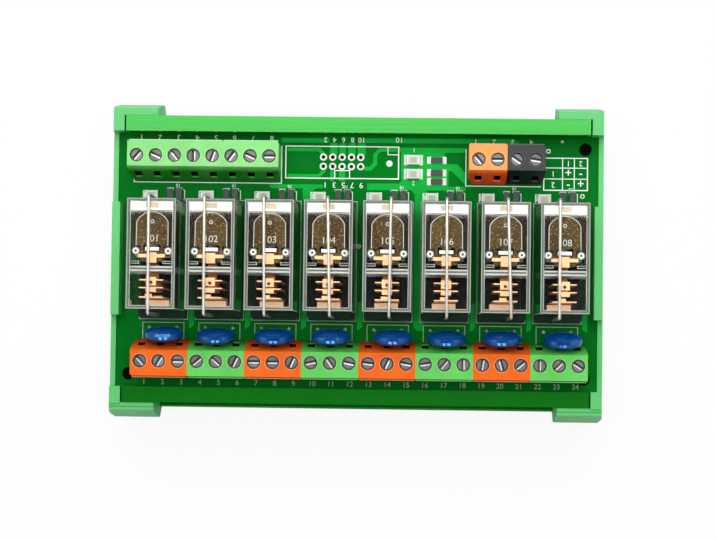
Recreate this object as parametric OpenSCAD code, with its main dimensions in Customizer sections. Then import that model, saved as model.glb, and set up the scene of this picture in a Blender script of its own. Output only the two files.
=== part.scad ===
// Eight-channel relay interface module on a rail-mounted board carrier.
// X runs along the carrier, Y across it and Z up from the underside of the feet.
// The origin is the centre of the footprint, on the surface that the feet stand on.

/* [Board] */
// Length of the circuit board
board_l = 130.2; // [129.6:0.2:134]
// Width of the circuit board, which the carrier is made for
board_w = 72; // [72:0.5:75]
// Thickness of the circuit board
board_t = 1.6; // [1.2:0.1:2]
// Diameter of the four corner holes
corner_hole_d = 3.5; // [3:0.1:4]
// Corner holes: distance of their centres from the ends of the board
corner_hole_end = 3.45; // [3:0.05:4]
// Corner holes: distance of their centres from the long edges of the board
corner_hole_side = 4.9; // [4.5:0.1:5.5]
// Play of each wire leg or pin in its board hole, on the diameter
lead_play = 0.3; // [0.2:0.05:0.5]

/* [Carrier profile] */
// Height of the extruded profile
profile_h = 19; // [18.5:0.25:23]
// Height of the board's underside above the profile's underside
board_rise = 11.2; // [10.8:0.1:12]
// Thickness of the profile's floor
floor_t = 2; // [1.5:0.1:2.5]
// Thickness of the side walls behind the board slots
skin_t = 2.5; // [2:0.1:3]
// Width of the flat band along the top of each wall
band_w = 4.2; // [3.6:0.1:4.6]
// Thickness of the top flange of each wall
flange_t = 2; // [1.5:0.1:2.3]
// Thickness of the ribs that form the board slots
rib_t = 1.5; // [1.2:0.1:1.7]
// Number of board slots in each wall, one above the other
slot_levels = 3; // [1:1:3]
// Side play of the board in its slot
slot_play = 0.15; // [0.1:0.05:0.3]
// Length of board that stands out of the profile at each end
board_overhang = 2.5; // [2.2:0.1:3]
// Height of the guide rail along the foot of each outer wall
guide_h = 2.4; // [2:0.1:3]
// Distance that the guide rail stands out from the wall
guide_out = 1.55; // [1:0.05:2]
// Distance of the label groove below the top of the wall
label_groove_drop = 3; // [2.5:0.25:4]
// Depth of the label groove in each outer wall
label_groove_depth = 0.8; // [0.4:0.1:1]
// Height of the label groove
label_groove_h = 6; // [5:0.25:7]

/* [End feet] */
// Width of each foot along the carrier
foot_l = 12.5; // [11.5:0.1:15]
// Height of the rail claws below the rail seat
claw_h = 4.6; // [4.2:0.1:5.4]
// Thickness of the foot between the rail seat and the profile
foot_plate_t = 4.4; // [4:0.1:5.5]
// Thickness of the thin end wall beside the board's end
end_wall_t = 1.4; // [1:0.1:1.6]
// Length of the tall strip in the middle of the end wall
end_strip_l = 30.4; // [24:0.2:36]
// Thickness of the tall strip at its top
end_strip_t = 2.8; // [2.4:0.1:3.2]
// Clearance between the foot and the parts it wraps
foot_gap = 0.1; // [0.05:0.05:0.2]
// Gap between each end of the profile and the foot's posts
end_gap = 0.45; // [0.3:0.05:0.6]
// Lean of the foot's tall end towards the carrier, at its top
end_draft = 0.6; // [0.3:0.1:0.8]
// Distance that the side wings stand out from the profile wall
wing_out = 4.35; // [3.8:0.05:4.8]
// Distance of the wings' top below the top of the wall
wing_drop = 0.5; // [0.3:0.1:1.5]
// Height of the step along the top of a wing
wing_step = 0.5; // [0.3:0.1:1]
// Width of the level top of a wing
wing_top = 2.1; // [1.6:0.1:2.6]
// Height of the sloped side of a wing
wing_slope = 12.4; // [10:0.2:13]
// Corner chamfer of the wings, seen from above
wing_chamfer = 0.5; // [0.3:0.1:1]
// Width of the mounting rail that the claws hold
rail_w = 35; // [34.8:0.1:35.4]
// Thickness of the rail's flange
rail_t = 1; // [0.9:0.05:1.2]
// Play of the rail between the claws, on each side
rail_play = 0.2; // [0.1:0.05:0.4]
// Distance that each claw grips under the rail's flange
claw_grip = 1.7; // [1.2:0.1:2]
// Thickness of each claw across the rail
claw_t = 3.3; // [2.8:0.1:4]
// Thickness of the sprung arm that carries the latch claw
latch_arm_t = 1.6; // [1.2:0.1:1.8]
// Height of the slit above the sprung arm
latch_slit = 1.2; // [0.8:0.1:1.4]
// Length of the sprung arm
latch_arm_l = 13; // [10:0.5:15]

/* [Terminal blocks] */
// Pitch of the terminal ways
way_pitch = 5.08; // [5.05:0.01:5.16]
// Height of the terminal blocks
block_h = 10.2; // [9.8:0.1:11.2]
// Depth of the flat top in front of the screw line
block_front = 3.95; // [3.8:0.05:4.2]
// Depth of the flat top behind the screw line
block_back = 2.9; // [2.8:0.05:3.3]
// Distance from the screw line to the foot of the sloped back
block_foot = 5.9; // [5.7:0.1:6.4]
// Height of the upright foot below the sloped back
block_foot_h = 2.2; // [1.6:0.1:3]
// Depth of the lip along the wire side
block_lip = 0.5; // [0.3:0.1:0.8]
// Distance of the lip's top below the block's top
block_lip_drop = 2.4; // [1.5:0.1:2.6]
// Distance from the screw line to the long edge of the board
block_edge = 8.45; // [7.8:0.05:8.8]
// Extra distance of the supply blocks from the board's edge
supply_set_back = 0.25; // [0:0.05:0.6]
// Corner chamfer at the free end of a row of blocks
row_chamfer = 1; // [0.4:0.1:1.2]
// Shift of the output row from the middle of the board
output_shift = 1; // [0.5:0.1:1.4]
// Shift of the input row from the middle of the board
input_shift = -41.35; // [-41.6:0.05:-40]
// Shift of the supply row from the middle of the board
supply_shift = 40.1; // [38:0.1:42]
// Width of the wire entries
entry_w = 3.9; // [3.6:0.05:4]
// Height of the wire entries above the block's floor
entry_h = 5; // [4.6:0.1:5.4]
// Thickness of the block's floor
block_floor = 0.8; // [0.6:0.1:1]
// Diameter of the screw heads
screw_head_d = 3.3; // [3:0.1:3.5]
// Height of the screw heads
screw_head_h = 1.3; // [1:0.1:1.6]
// Diameter of the screw shanks
screw_d = 2.5; // [2.2:0.1:2.6]
// Depth of the screw heads below the block's top
screw_sink = 0.8; // [0.3:0.1:1]
// Clearance round the screw heads in their wells
well_play = 0.2; // [0.12:0.02:0.26]
// Width of the screwdriver slots
driver_slot_w = 1; // [0.8:0.05:1.1]
// Depth of the screwdriver slots
driver_slot_depth = 0.9; // [0.6:0.05:1]
// Clearance round a screw or clamp in its block
block_play = 0.12; // [0.08:0.01:0.15]
// Width of the wire clamps
clamp_w = 3.9; // [3.7:0.05:4]
// Depth of the wire clamps along the wire
clamp_l = 4.6; // [4:0.1:4.8]
// Wall thickness of the wire clamps
clamp_t = 0.7; // [0.5:0.05:0.8]
// Thickness of the contact bars that the clamps draw up to
bar_t = 0.8; // [0.6:0.05:1]
// Width of the contact bars
bar_w = 2; // [1.6:0.1:2.2]
// Thickness of the pins that pass through the board
pin_t = 0.9; // [0.8:0.05:1]
// Length of each pin below the board
pin_tail = 2.2; // [1.5:0.1:3]
// Width of the test windows in the sloped back
window_w = 1.9; // [1.6:0.1:2.1]
// Height of the test windows
window_h = 3.2; // [2.8:0.1:3.4]

/* [Relays] */
// Length of a relay case
case_l = 28.8; // [28.4:0.1:29.6]
// Width of a relay case
case_w = 12.8; // [12.6:0.1:13.2]
// Height of a relay case
case_h = 24.9; // [24:0.1:27]
// Wall thickness of the clear relay covers
cover_t = 0.8; // [0.6:0.05:0.9]
// Corner chamfer of the clear covers
cover_chamfer = 0.5; // [0.3:0.1:0.8]
// Shift of the relay row from the middle of the board
relay_shift = 0.2; // [0:0.1:0.4]
// Clearance round each piece inside the clear cover
case_play = 0.12; // [0.08:0.02:0.16]
// Thickness of the relay's base moulding
relay_base_t = 2; // [1.6:0.1:2.6]
// Distance of the base's cross wall from the contact end of the case
wall_from_end = 9.85; // [9.75:0.05:10]
// Thickness of the base's cross wall
wall_t = 1.3; // [1.2:0.05:1.45]
// Distance from the cover's ceiling to the armature
head_room = 2.1; // [1.8:0.1:2.6]

/* [Relay magnet] */
// Distance of the core's axis from the coil end of the case
core_from_end = 8.6; // [8.5:0.05:8.8]
// Diameter of the iron core
core_d = 4.6; // [4:0.1:5]
// Diameter of the pole face on top of the core
pole_d = 7.4; // [6.5:0.1:8]
// Thickness of the pole face
pole_t = 1.2; // [0.8:0.1:1.5]
// Air gap between the pole face and the open armature
pole_gap = 0.7; // [0.65:0.05:0.9]
// Diameter of the copper winding
coil_d = 9.8; // [9:0.1:10.2]
// Wall thickness of the bobbin's tube and cheeks
bobbin_t = 0.9; // [0.7:0.1:1.1]
// Thickness of the iron yoke
yoke_t = 1.3; // [1:0.1:1.4]
// Width of the iron yoke
yoke_w = 9.2; // [8.6:0.1:9.6]
// Thickness of the armature plate
armature_t = 1; // [0.8:0.1:1.1]
// Width of the armature plate
armature_w = 8.5; // [8:0.1:9]
// Distance of the armature's tip from the coil end of the case
tip_from_end = 3.4; // [3.3:0.05:3.8]
// Distance of the yoke's outer face from the coil end of the case
hinge_from_end = 15.2; // [15.1:0.05:15.3]
// Clearance between the armature and the yoke it rocks on
hinge_play = 0.2; // [0.15:0.05:0.25]
// Radius of the two guide posts beside the armature
post_r = 1; // [0.8:0.05:1.1]

/* [Relay contacts] */
// Thickness of the contact springs
spring_t = 0.3; // [0.2:0.05:0.35]
// Width of the contact springs
spring_w = 6.2; // [5.5:0.1:6.8]
// Distance of the make contact from the contact end of the case
make_from_end = 3.15; // [3.1:0.05:3.25]
// Distance of the moving spring from the contact end of the case
moving_from_end = 5.6; // [5.5:0.05:5.65]
// Distance of the break contact from the contact end of the case
break_from_end = 7.6; // [7.55:0.05:7.7]
// Diameter of the contact rivets
rivet_d = 2.4; // [2:0.1:2.8]
// Height of the contact rivets above the relay's base
rivet_rise = 6; // [5:0.25:7]
// Distance from the cover's ceiling to the springs' tops
blade_room = 1; // [0.8:0.1:1.5]
// Gap at the closed break contact
rest_gap = 0.1; // [0.06:0.01:0.12]
// Gap at the open make contact
open_gap = 0.8; // [0.75:0.01:0.85]
// Width of the relay's pins
relay_pin_w = 1; // [0.8:0.05:1.1]
// Thickness of the relay's pins
relay_pin_t = 0.45; // [0.3:0.05:0.5]

/* [Relay sockets] */
// Height of the sockets
socket_h = 5.1; // [4.9:0.1:6]
// Distance that the socket stands out past the coil end of the case
socket_head = 1.3; // [1.2:0.05:1.5]
// Distance that the socket stands out past the contact end of the case
socket_toe = 1.9; // [1.8:0.1:2.2]
// Depth of each clip's feet in the socket
clip_seat = 3; // [2:0.25:3.5]
// Extra reach of the clip's release nose past the contact end
clip_nose = 0.5; // [0.2:0.05:0.6]
// Diameter of the wire in the retaining clips
clip_d = 0.8; // [0.6:0.05:0.9]
// Bend radius of the clips, to the middle of the wire
clip_bend = 1; // [0.8:0.05:1.1]
// Gap between the clip and the case
clip_gap = 0.25; // [0.2:0.05:0.3]
// Sideways place of each clip on its relay
clip_shifts = [-0.55, -1.4, -1.2, 0.2, 0.75, 0.1, 0.95, -1.45];
// Slant of each clip over its relay, in degrees
clip_slants = [0.4, 0.4, 0.9, 1.6, -0.4, 0.4, 1.9, 0];

/* [Small parts] */
// Diameter of the varistor discs
varistor_d = 10.6; // [9.6:0.1:10.8]
// Thickness of the varistor discs
varistor_t = 4.1; // [3.6:0.1:4.2]
// Height of the discs' centres above the board
varistor_rise = 6.9; // [6.6:0.1:7.6]
// Lean of each disc towards the output blocks, in degrees
varistor_leans = [10, 13, 13, 12, 12, 13, 12, 14];
// Sideways bend of each disc from its place on the board
varistor_bends = [0.9, -0.3, 0, 0.1, 1.5, 0.65, 0.15, 1.2];
// Distance of the discs' feet behind the output screws
varistor_back = 8.4; // [8.3:0.05:8.7]
// Spacing of the varistor legs
varistor_legs = 7.5; // [5:0.5:7.5]
// Diameter of the varistor legs
varistor_leg_d = 0.8; // [0.6:0.05:0.9]
// Length of a chip part
chip_l = 3.2; // [2.8:0.1:3.4]
// Width of a chip part
chip_w = 1.6; // [1.2:0.1:1.8]
// Height of a chip resistor
chip_h = 0.6; // [0.45:0.05:0.8]
// Length of a chip light
light_l = 3.4; // [3:0.1:3.6]
// Width of a chip light
light_w = 2.6; // [2.2:0.1:2.8]
// Height of a chip light
light_h = 1.5; // [1:0.1:1.9]
// Gap between the relay sockets and the chip parts beside them
chip_gap = 0.3; // [0.2:0.05:0.5]
// Pitch of the empty signal header's holes
header_pitch = 2.54; // [2.5:0.01:2.6]
// Diameter of the empty signal header's holes
header_hole_d = 1; // [0.8:0.05:1.1]

/* [Hidden] */

// Counts that the node names fix
relays = 8;
output_ways = 3;
input_ways = [5, 3];
supply_ways = [2, 2];

// Overlap that lets one solid's pieces fuse, or a cut pass its face
eps = 0.5;
$fn = 32;

// Board length, board width and relay length that the pitch, the shifts and the places are given for
made_for = [130.2, 72, 28.8];
// A longer or shorter board moves its ends by this, and the rows stretch to keep their end gaps
end_growth = (board_l - made_for[0]) / 2;
// A wider or narrower board moves its long edges by this, and the gap at the wall takes its share
edge_growth = (board_w - made_for[1]) / 2;
wall_gap_share = 0.65;
// A longer or shorter relay spreads its magnet and its contacts by this
case_stretch = case_l / made_for[2];

// Heights of the carrier and the board
seat_z = claw_h;
profile_z = claw_h + foot_plate_t;
wall_top = profile_z + profile_h;
board_z = profile_z + board_rise;
board_top = board_z + board_t;
board_play = 0.1;

// Carrier widths and lengths
slot_y = board_w / 2 + slot_play;
wall_y = slot_y + skin_t;
band_y = wall_y - band_w;
guide_y = wall_y + guide_out;
wing_y = wall_y + wing_out;
profile_l = board_l - 2 * board_overhang;
end_in_x = profile_l / 2 + end_gap;
board_end_x = board_l / 2 + foot_gap;
foot_x = board_end_x + end_wall_t;

// Screws: sideways place, place across the board and turn of each terminal way
row_y = board_w / 2 - block_edge - wall_gap_share * edge_growth;
input_n = input_ways[0] + input_ways[1];
supply_n = supply_ways[0] + supply_ways[1];
output_n = relays * output_ways;
pitch = way_pitch + 2 * end_growth / output_n;
input_x = input_shift - end_growth + input_n / 2 * (pitch - way_pitch);
supply_x = supply_shift + end_growth - supply_n / 2 * (pitch - way_pitch);
function way_x(middle, n, i) = middle + (i - (n - 1) / 2) * pitch;
WAYS = concat(
    [for (i = [0 : output_n - 1]) [way_x(output_shift, output_n, i), -row_y, 0]],
    [for (i = [0 : input_n - 1]) [way_x(input_x, input_n, i), row_y, 180]],
    [for (i = [0 : supply_n - 1]) [way_x(supply_x, supply_n, i), row_y - supply_set_back, 180]]);
// How far each screw was left turned, in degrees, in the order of WAYS
DRIVER_TURNS = [-45, 60, 0, 40, -40, 65, 0, 0, 65, 15, -55, -15, -10, 65, -12, 12, 50, 90,
                80, 105, 40, 90, 45, -32, 50, -25, -50, 90, 70, 55, -25, 0, -50, 0, -35, -10];

// Heights inside a terminal block, above the board
screw_top = block_h - screw_sink;
screw_neck = screw_top - screw_head_h;
clamp_z = block_floor + block_play;
neck_web = 1;
clamp_h = screw_neck - neck_web - clamp_z;
clamp_top = clamp_z + clamp_h;
bar_z = clamp_top - clamp_t - block_play - bar_t;
leg_web = 0.3;
leg_y = clamp_l / 2 + block_play + leg_web + pin_t / 2;
window_rise = 0.7;
window_z = (block_foot_h + block_h) / 2 + window_rise;
joint_chamfer = 0.3;

// Places of the relays and inside one relay, seen from its own middle
relay_pitch = output_ways * pitch;
function relay_x(k) = output_shift + (k - (relays - 1) / 2) * relay_pitch;
case_end = case_l / 2;
case_top = socket_h + case_h;
inner_end = case_end - cover_t;
inner_x = case_w / 2 - cover_t;
ceiling = case_top - cover_t;
base_top = socket_h + relay_base_t;
wall_y0 = -case_end + wall_from_end * case_stretch;
armature_top = ceiling - head_room;
armature_z = armature_top - armature_t;
pole_top = armature_z - pole_gap;
yoke_top = armature_z - hinge_play;
core_y = case_end - core_from_end * case_stretch;
hinge_y = case_end - hinge_from_end * case_stretch;
tip_y = case_end - tip_from_end;
arch_rise = 2.9;
leg_drop = 5;
post_gap = 0.25;
post_back = 1.55;
post_x = armature_w / 2 - 0.05;
post_y = hinge_y + post_back;
waist = 2 * (post_x - post_r - post_gap);
waist_y = post_y + post_r + post_gap;
arm_w = 2.4;
arm_z = armature_z - leg_drop + 0.6;
cross_w = 7;
cross_l = 0.9;
gate_w = arm_w + 1.5;
GATE_Z = [arm_z - 0.5, arm_z + spring_t + 0.8];
blade_top = ceiling - blade_room;
moving_y = -case_end + moving_from_end * case_stretch;
make_y = -case_end + make_from_end * case_stretch;
break_y = -case_end + break_from_end * case_stretch;
rivet_z = base_top + rivet_rise;
break_gap = break_y - moving_y - spring_t;
make_gap = moving_y - make_y - spring_t;

// Pins of one relay: place from its middle, in the order coil, coil, break, make, common
coil_pin_x = 3.75;
coil_pin_y = case_end - 2;
side_pin_x = 2.2;
common_w = 6.2;
common_shift = -0.35;
common_t = 1.7;
common_h = 4.4;
common_y = -case_end + cover_t + case_play + common_t / 2 + 0.15;
PINS = [[-coil_pin_x, coil_pin_y], [coil_pin_x, coil_pin_y], [0, break_y],
        [-side_pin_x, make_y], [side_pin_x, common_y]];
pin_bottom = 1.6;
pin_slot_play = 0.1;
pin_root = 0.6;

// Small parts
varistor_y = -row_y + varistor_back;
leg_set = 0.7;
socket_end = case_end + socket_head;
chip_row_y = relay_shift + socket_end + chip_gap;
tail_d = 0.8;
header_x = -9.44;
header_y = row_y + 0.85;
// Two status lights and three resistors beside the header, across from the screw line
STATUS_LIGHTS = [[15, row_y + 0.25], [15, row_y - 3.55]];
STATUS_RESISTORS = [[21.4, row_y + 0.25], [21.4, row_y - 3.15], [21.4, row_y - 5.55]];
// Parts beside each relay: their places from the relay's middle
relay_light_x = -3.7;
relay_resistor_x = 1.3;
relay_diode_x = 3.8;

module at_ways(from = 0, to = len(WAYS) - 1) {
    for (i = [from : to])
        translate([WAYS[i][0], WAYS[i][1], board_top]) rotate(WAYS[i][2]) children();
}

module at_relay(k) {
    translate([relay_x(k), relay_shift, board_top]) children();
}

module at_relays() {
    for (k = [0 : relays - 1]) at_relay(k) children();
}

// A profile in Y and Z, run along X from x0
module along_x(x0, l) {
    translate([x0, 0, 0]) rotate([90, 0, 90]) linear_extrude(l) children();
}

module block(x, y, z) {
    translate([x[0], y[0], z[0]]) cube([x[1] - x[0], y[1] - y[0], z[1] - z[0]]);
}

// ---------------------------------------------------------------- carrier

guide_edge = 0.5;

module wall_section() {
    difference() {
        union() {
            translate([slot_y, 0]) square([skin_t, profile_h]);
            translate([band_y, profile_h - flange_t]) square([band_w, flange_t]);
            translate([band_y, board_rise + board_t + board_play]) square([band_w, rib_t]);
            for (i = [0 : slot_levels - 1])
                translate([band_y, board_rise - rib_t - i * (board_t + board_play + rib_t)])
                    square([band_w, rib_t]);
            polygon([[wall_y - skin_t / 2, 0], [guide_y - guide_edge, 0], [guide_y, guide_edge],
                     [guide_y, guide_h - guide_edge], [guide_y - guide_edge, guide_h],
                     [wall_y - skin_t / 2, guide_h]]);
        }
        translate([wall_y - label_groove_depth, profile_h - label_groove_drop - label_groove_h])
            square([label_groove_depth + eps, label_groove_h]);
    }
}

module carrier_profile() {
    color([0.10, 0.62, 0.22])
    translate([0, 0, profile_z])
        along_x(-profile_l / 2, profile_l) {
            translate([-wall_y + skin_t / 2, 0]) square([2 * wall_y - skin_t, floor_t]);
            for (m = [0, 1]) mirror([m, 0]) wall_section();
        }
}

rail_half = rail_w / 2 + rail_play;
rail_lift = 0.3;
lip_z = seat_z - rail_t - rail_lift;
claw_lip_t = 0.8;
claw_lead = 0.4;
wing_z = wall_top - wing_drop - wing_step;
foot_flare = [1.5, 2.6];
toe = [[1.5, 1.8], [4.5, 3]];
tab_w = 2;
tab_h = 1.6;
latch_back = 0.8;

// Side of the foot beyond the claws: up the outside, over the wing and back to the profile
function foot_side(y0, z0) = [
    [y0, z0], [guide_y - foot_flare[0], z0 + foot_flare[1]], [wing_y, profile_z + guide_h],
    [wing_y, wing_z - wing_slope], [wall_y + wing_top, wing_z],
    [wall_y + wing_top / 2, wing_z], [wall_y + wing_top / 2, wing_z + wing_step],
    [wall_y + foot_gap, wing_z + wing_step],
    [wall_y + foot_gap, profile_z + guide_h + foot_gap],
    [guide_y + foot_gap, profile_z + guide_h + foot_gap],
    [guide_y + foot_gap, profile_z], [0, profile_z], [0, seat_z]];

// Claw: the inside face, the lip under the rail's flange and the outside face
function claw(y) = [
    [y, seat_z], [y, lip_z], [y - claw_grip, lip_z], [y - claw_grip, lip_z - claw_lip_t],
    [y - claw_lead, 0], [y + claw_t, 0]];

module fixed_side() {
    polygon(concat(claw(rail_half), [[rail_half + claw_t, 0] + toe[0]],
                   foot_side(rail_half + claw_t + toe[1][0], toe[1][1])));
}

module latch_side() {
    arm_end = rail_half + latch_arm_l;
    polygon(concat(
        claw(rail_half),
        [[rail_half + claw_t, seat_z - latch_arm_t], [arm_end - 2 * tab_w, seat_z - latch_arm_t],
         [arm_end - 2 * tab_w, seat_z - latch_arm_t - tab_h],
         [arm_end - tab_w, seat_z - latch_arm_t - tab_h], [arm_end - tab_w, seat_z - latch_arm_t]],
        foot_side(arm_end + 1.2 * tab_w, seat_z - latch_arm_t),
        [[rail_half - latch_back, seat_z], [rail_half - latch_back, seat_z + latch_slit],
         [arm_end, seat_z + latch_slit], [arm_end, seat_z]]));
}

module end_foot() {
    pocket_w = 8;
    pocket_gap = 2;
    web = 2;
    tongue_l = 7;
    tongue_t = 2.4;
    tongue_y = [14, 26];
    end_rise = 0.4;
    end_top = board_top + end_rise;
    difference() {
        union() {
            along_x(foot_x - foot_l, foot_l) {
                fixed_side();
                mirror([1, 0]) latch_side();
            }
            // solid end under the board, and the posts that close the profile's walls
            block([end_in_x, foot_x], [-wall_y - eps, wall_y + eps], [profile_z - eps, board_z]);
            block([board_end_x, foot_x], [-wall_y - eps, wall_y + eps],
                  [board_z - eps, end_top]);
            block([foot_x - end_strip_t, foot_x], [-end_strip_l / 2, end_strip_l / 2],
                  [board_z - eps, wall_top]);
            for (m = [0, 1]) mirror([0, m, 0])
                block([end_in_x, foot_x], [band_y, wall_y + foot_gap + eps / 2],
                      [board_z - eps, wall_top]);
            // tongues that align the foot inside the profile
            for (m = [0, 1]) mirror([0, m, 0])
                block([end_in_x - tongue_l, end_in_x + eps], tongue_y,
                      [profile_z + floor_t + foot_gap, profile_z + floor_t + tongue_t]);
        }
        // room for the board's end
        block([0, board_end_x], [-slot_y, slot_y], [board_z, board_top + board_play]);
        // pockets that keep the moulding's walls even
        for (i = [-1 : 1])
            translate([foot_x - foot_l + web, i * (pocket_w + pocket_gap) - pocket_w / 2, seat_z - eps])
                cube([foot_l - 2 * web, pocket_w, foot_plate_t - web + eps]);
        // lean of the end above the board
        translate([0, wing_y + eps, 0]) rotate([90, 0, 0])
            linear_extrude(2 * (wing_y + eps))
                polygon([[foot_x, end_top], [foot_x + eps, end_top], [foot_x + eps, wall_top + eps],
                         [foot_x - end_draft, wall_top + eps], [foot_x - end_draft, wall_top]]);
        // chamfered corners of the wings
        for (m = [0, 1]) mirror([0, m, 0]) {
            translate([0, 0, seat_z])
                linear_extrude(wall_top)
                    polygon([[foot_x - wing_chamfer, wing_y + eps], [foot_x - wing_chamfer, wing_y],
                             [foot_x, wing_y - 2 * wing_chamfer], [foot_x + eps, wing_y - 2 * wing_chamfer],
                             [foot_x + eps, wing_y + eps]]);
        }
    }
}

module end_foot_right() {
    color([0.35, 0.72, 0.42]) end_foot();
}

module end_foot_left() {
    color([0.35, 0.72, 0.42]) mirror([1, 0, 0]) end_foot();
}

// ------------------------------------------------------------------ board

module drill(x, y, d) {
    translate([x, y, board_z - eps]) cylinder(d = d, h = board_t + 2 * eps, $fn = 24);
}

module circuit_board() {
    color([0.02, 0.42, 0.14])
    difference() {
        block([-board_l / 2, board_l / 2], [-board_w / 2, board_w / 2], [board_z, board_top]);
        for (sx = [-1, 1], sy = [-1, 1])
            drill(sx * (board_l / 2 - corner_hole_end), sy * (board_w / 2 - corner_hole_side),
                  corner_hole_d);
        for (w = WAYS)
            drill(w[0], w[1] + (w[2] == 0 ? leg_y : -leg_y), pin_t * sqrt(2) + lead_play);
        for (k = [0 : relays - 1], p = PINS)
            drill(relay_x(k) + p[0], relay_shift + p[1], tail_d + lead_play);
        for (k = [0 : relays - 1], s = [-1, 1])
            drill(relay_x(k) + s * varistor_legs / 2, varistor_y + leg_set, varistor_leg_d + lead_play);
        for (i = [0 : 4], j = [0, 1])
            drill(header_x + i * header_pitch, header_y - j * header_pitch, header_hole_d);
    }
}

// -------------------------------------------------------- terminal blocks

// One block of n ways, its first way at the origin and its wire side towards -Y
module terminal_housing(n, left_chamfer, right_chamfer) {
    x0 = -pitch / 2;
    x1 = x0 + n * pitch;
    front = -block_front - block_lip;
    difference() {
        intersection() {
            along_x(x0, x1 - x0)
                polygon([[front, 0], [block_foot, 0], [block_foot, block_foot_h], [block_back, block_h],
                         [-block_front, block_h], [-block_front, block_h - block_lip_drop],
                         [front, block_h - block_lip_drop]]);
            linear_extrude(block_h + eps)
                polygon([[x0 + left_chamfer, front], [x1 - right_chamfer, front],
                         [x1, front + left_chamfer], [x1, block_foot - 1.5 * right_chamfer],
                         [x1 - right_chamfer, block_foot], [x0 + left_chamfer, block_foot],
                         [x0, block_foot - 1.5 * left_chamfer], [x0, front + left_chamfer]]);
        }
        for (i = [0 : n - 1]) translate([i * pitch, 0, 0]) terminal_cavity();
    }
}

module terminal_cavity() {
    well_d = screw_head_d + 2 * well_play;
    front = -block_front - block_lip;
    chamber_top = clamp_top + block_play;
    back = leg_y + pin_t / 2 + block_play;
    half_w = clamp_w / 2 + block_play;
    // screw well and the neck under the head
    translate([0, 0, screw_neck]) cylinder(d = well_d, h = block_h, $fn = 32);
    translate([0, 0, chamber_top - eps]) cylinder(d = screw_d + 2 * block_play, h = block_h, $fn = 24);
    // clamp chamber, narrower wire entry in front and channel for the bar's leg behind
    block([-half_w, half_w], [-clamp_l / 2 - block_play, clamp_l / 2 + block_play],
          [block_floor, chamber_top]);
    block([-entry_w / 2, entry_w / 2], [front - eps, 0], [block_floor, block_floor + entry_h]);
    block([-bar_w / 2 - block_play, bar_w / 2 + block_play], [0, back], [-eps, bar_z + bar_t + block_play]);
    // test window through the sloped back
    block([-window_w / 2, window_w / 2], [back - eps, block_foot + eps],
          [window_z - window_h, window_z]);
}

module output_terminal(k) {
    shade = k % 2 == 1 ? [1, 0.42, 0.12] : [0.38, 0.82, 0.34];
    color(shade)
    translate([WAYS[(k - 1) * output_ways][0], -row_y, board_top])
        terminal_housing(output_ways, k == 1 ? row_chamfer : joint_chamfer,
                         k == relays ? row_chamfer : joint_chamfer);
}

// A block on the far side of the board, its last way at WAYS[last]
module turned_terminal(last, n, left_chamfer, right_chamfer) {
    translate([WAYS[last][0], WAYS[last][1], board_top]) rotate(180)
        terminal_housing(n, right_chamfer, left_chamfer);
}

module input_terminal_1() {
    color([0.42, 0.88, 0.38])
        turned_terminal(output_n + input_ways[0] - 1, input_ways[0], row_chamfer, joint_chamfer);
}

module input_terminal_2() {
    color([0.42, 0.88, 0.38])
        turned_terminal(output_n + input_n - 1, input_ways[1], joint_chamfer, row_chamfer);
}

module supply_terminal_1() {
    color([1, 0.42, 0.12])
        turned_terminal(output_n + input_n + supply_ways[0] - 1, supply_ways[0], row_chamfer, joint_chamfer);
}

module supply_terminal_2() {
    color([0.06, 0.06, 0.06])
        turned_terminal(output_n + input_n + supply_n - 1, supply_ways[1], joint_chamfer, row_chamfer);
}

module terminal_screw(turn) {
    tip = bar_z + bar_t + 0.05;
    difference() {
        union() {
            translate([0, 0, screw_neck]) cylinder(d = screw_head_d, h = screw_head_h, $fn = 32);
            translate([0, 0, tip]) cylinder(d = screw_d, h = screw_neck - tip + eps, $fn = 24);
        }
        rotate(turn)
            block([-screw_head_d, screw_head_d], [-driver_slot_w / 2, driver_slot_w / 2],
                  [screw_top - driver_slot_depth, screw_top + eps]);
    }
}

module terminal_screws() {
    color("silver")
    for (i = [0 : len(WAYS) - 1])
        translate([WAYS[i][0], WAYS[i][1], board_top]) terminal_screw(DRIVER_TURNS[i]);
}

module wire_clamps() {
    color("gainsboro")
    at_ways() difference() {
        block([-clamp_w / 2, clamp_w / 2], [-clamp_l / 2, clamp_l / 2], [clamp_z, clamp_top]);
        block([-clamp_w / 2 + clamp_t, clamp_w / 2 - clamp_t], [-clamp_l, clamp_l],
              [clamp_z + clamp_t, clamp_top - clamp_t]);
        translate([0, 0, clamp_z + clamp_t + eps])
            cylinder(d = screw_d + 0.1, h = clamp_h, $fn = 24);
    }
}

module terminal_pins() {
    color("gold")
    at_ways() {
        block([-bar_w / 2, bar_w / 2], [-clamp_l / 2 + 0.4, leg_y + pin_t / 2], [bar_z, bar_z + bar_t]);
        block([-pin_t / 2, pin_t / 2], [leg_y - pin_t / 2, leg_y + pin_t / 2],
              [-board_t - pin_tail, bar_z + bar_t / 2]);
    }
}

// ----------------------------------------------------------------- relays

// Plan of a box with chamfered upright corners
module chamfered(x, y0, y1, c) {
    polygon([[-x + c, y0], [x - c, y0], [x, y0 + c], [x, y1 - c],
             [x - c, y1], [-x + c, y1], [-x, y1 - c], [-x, y0 + c]]);
}

// Puts a clip, or what holds it, at its own shift and slant on relay k
module at_clip(k) {
    at_relay(k) translate([clip_shifts[k], 0, 0]) rotate(clip_slants[k]) children();
}

clip_head_y = case_end + clip_gap + clip_d / 2;
clip_toe_y = -clip_head_y - clip_nose;

contact_x = 1.9;
contact_y = 1.1;
contact_z = [1, socket_h - 0.6];

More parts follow.
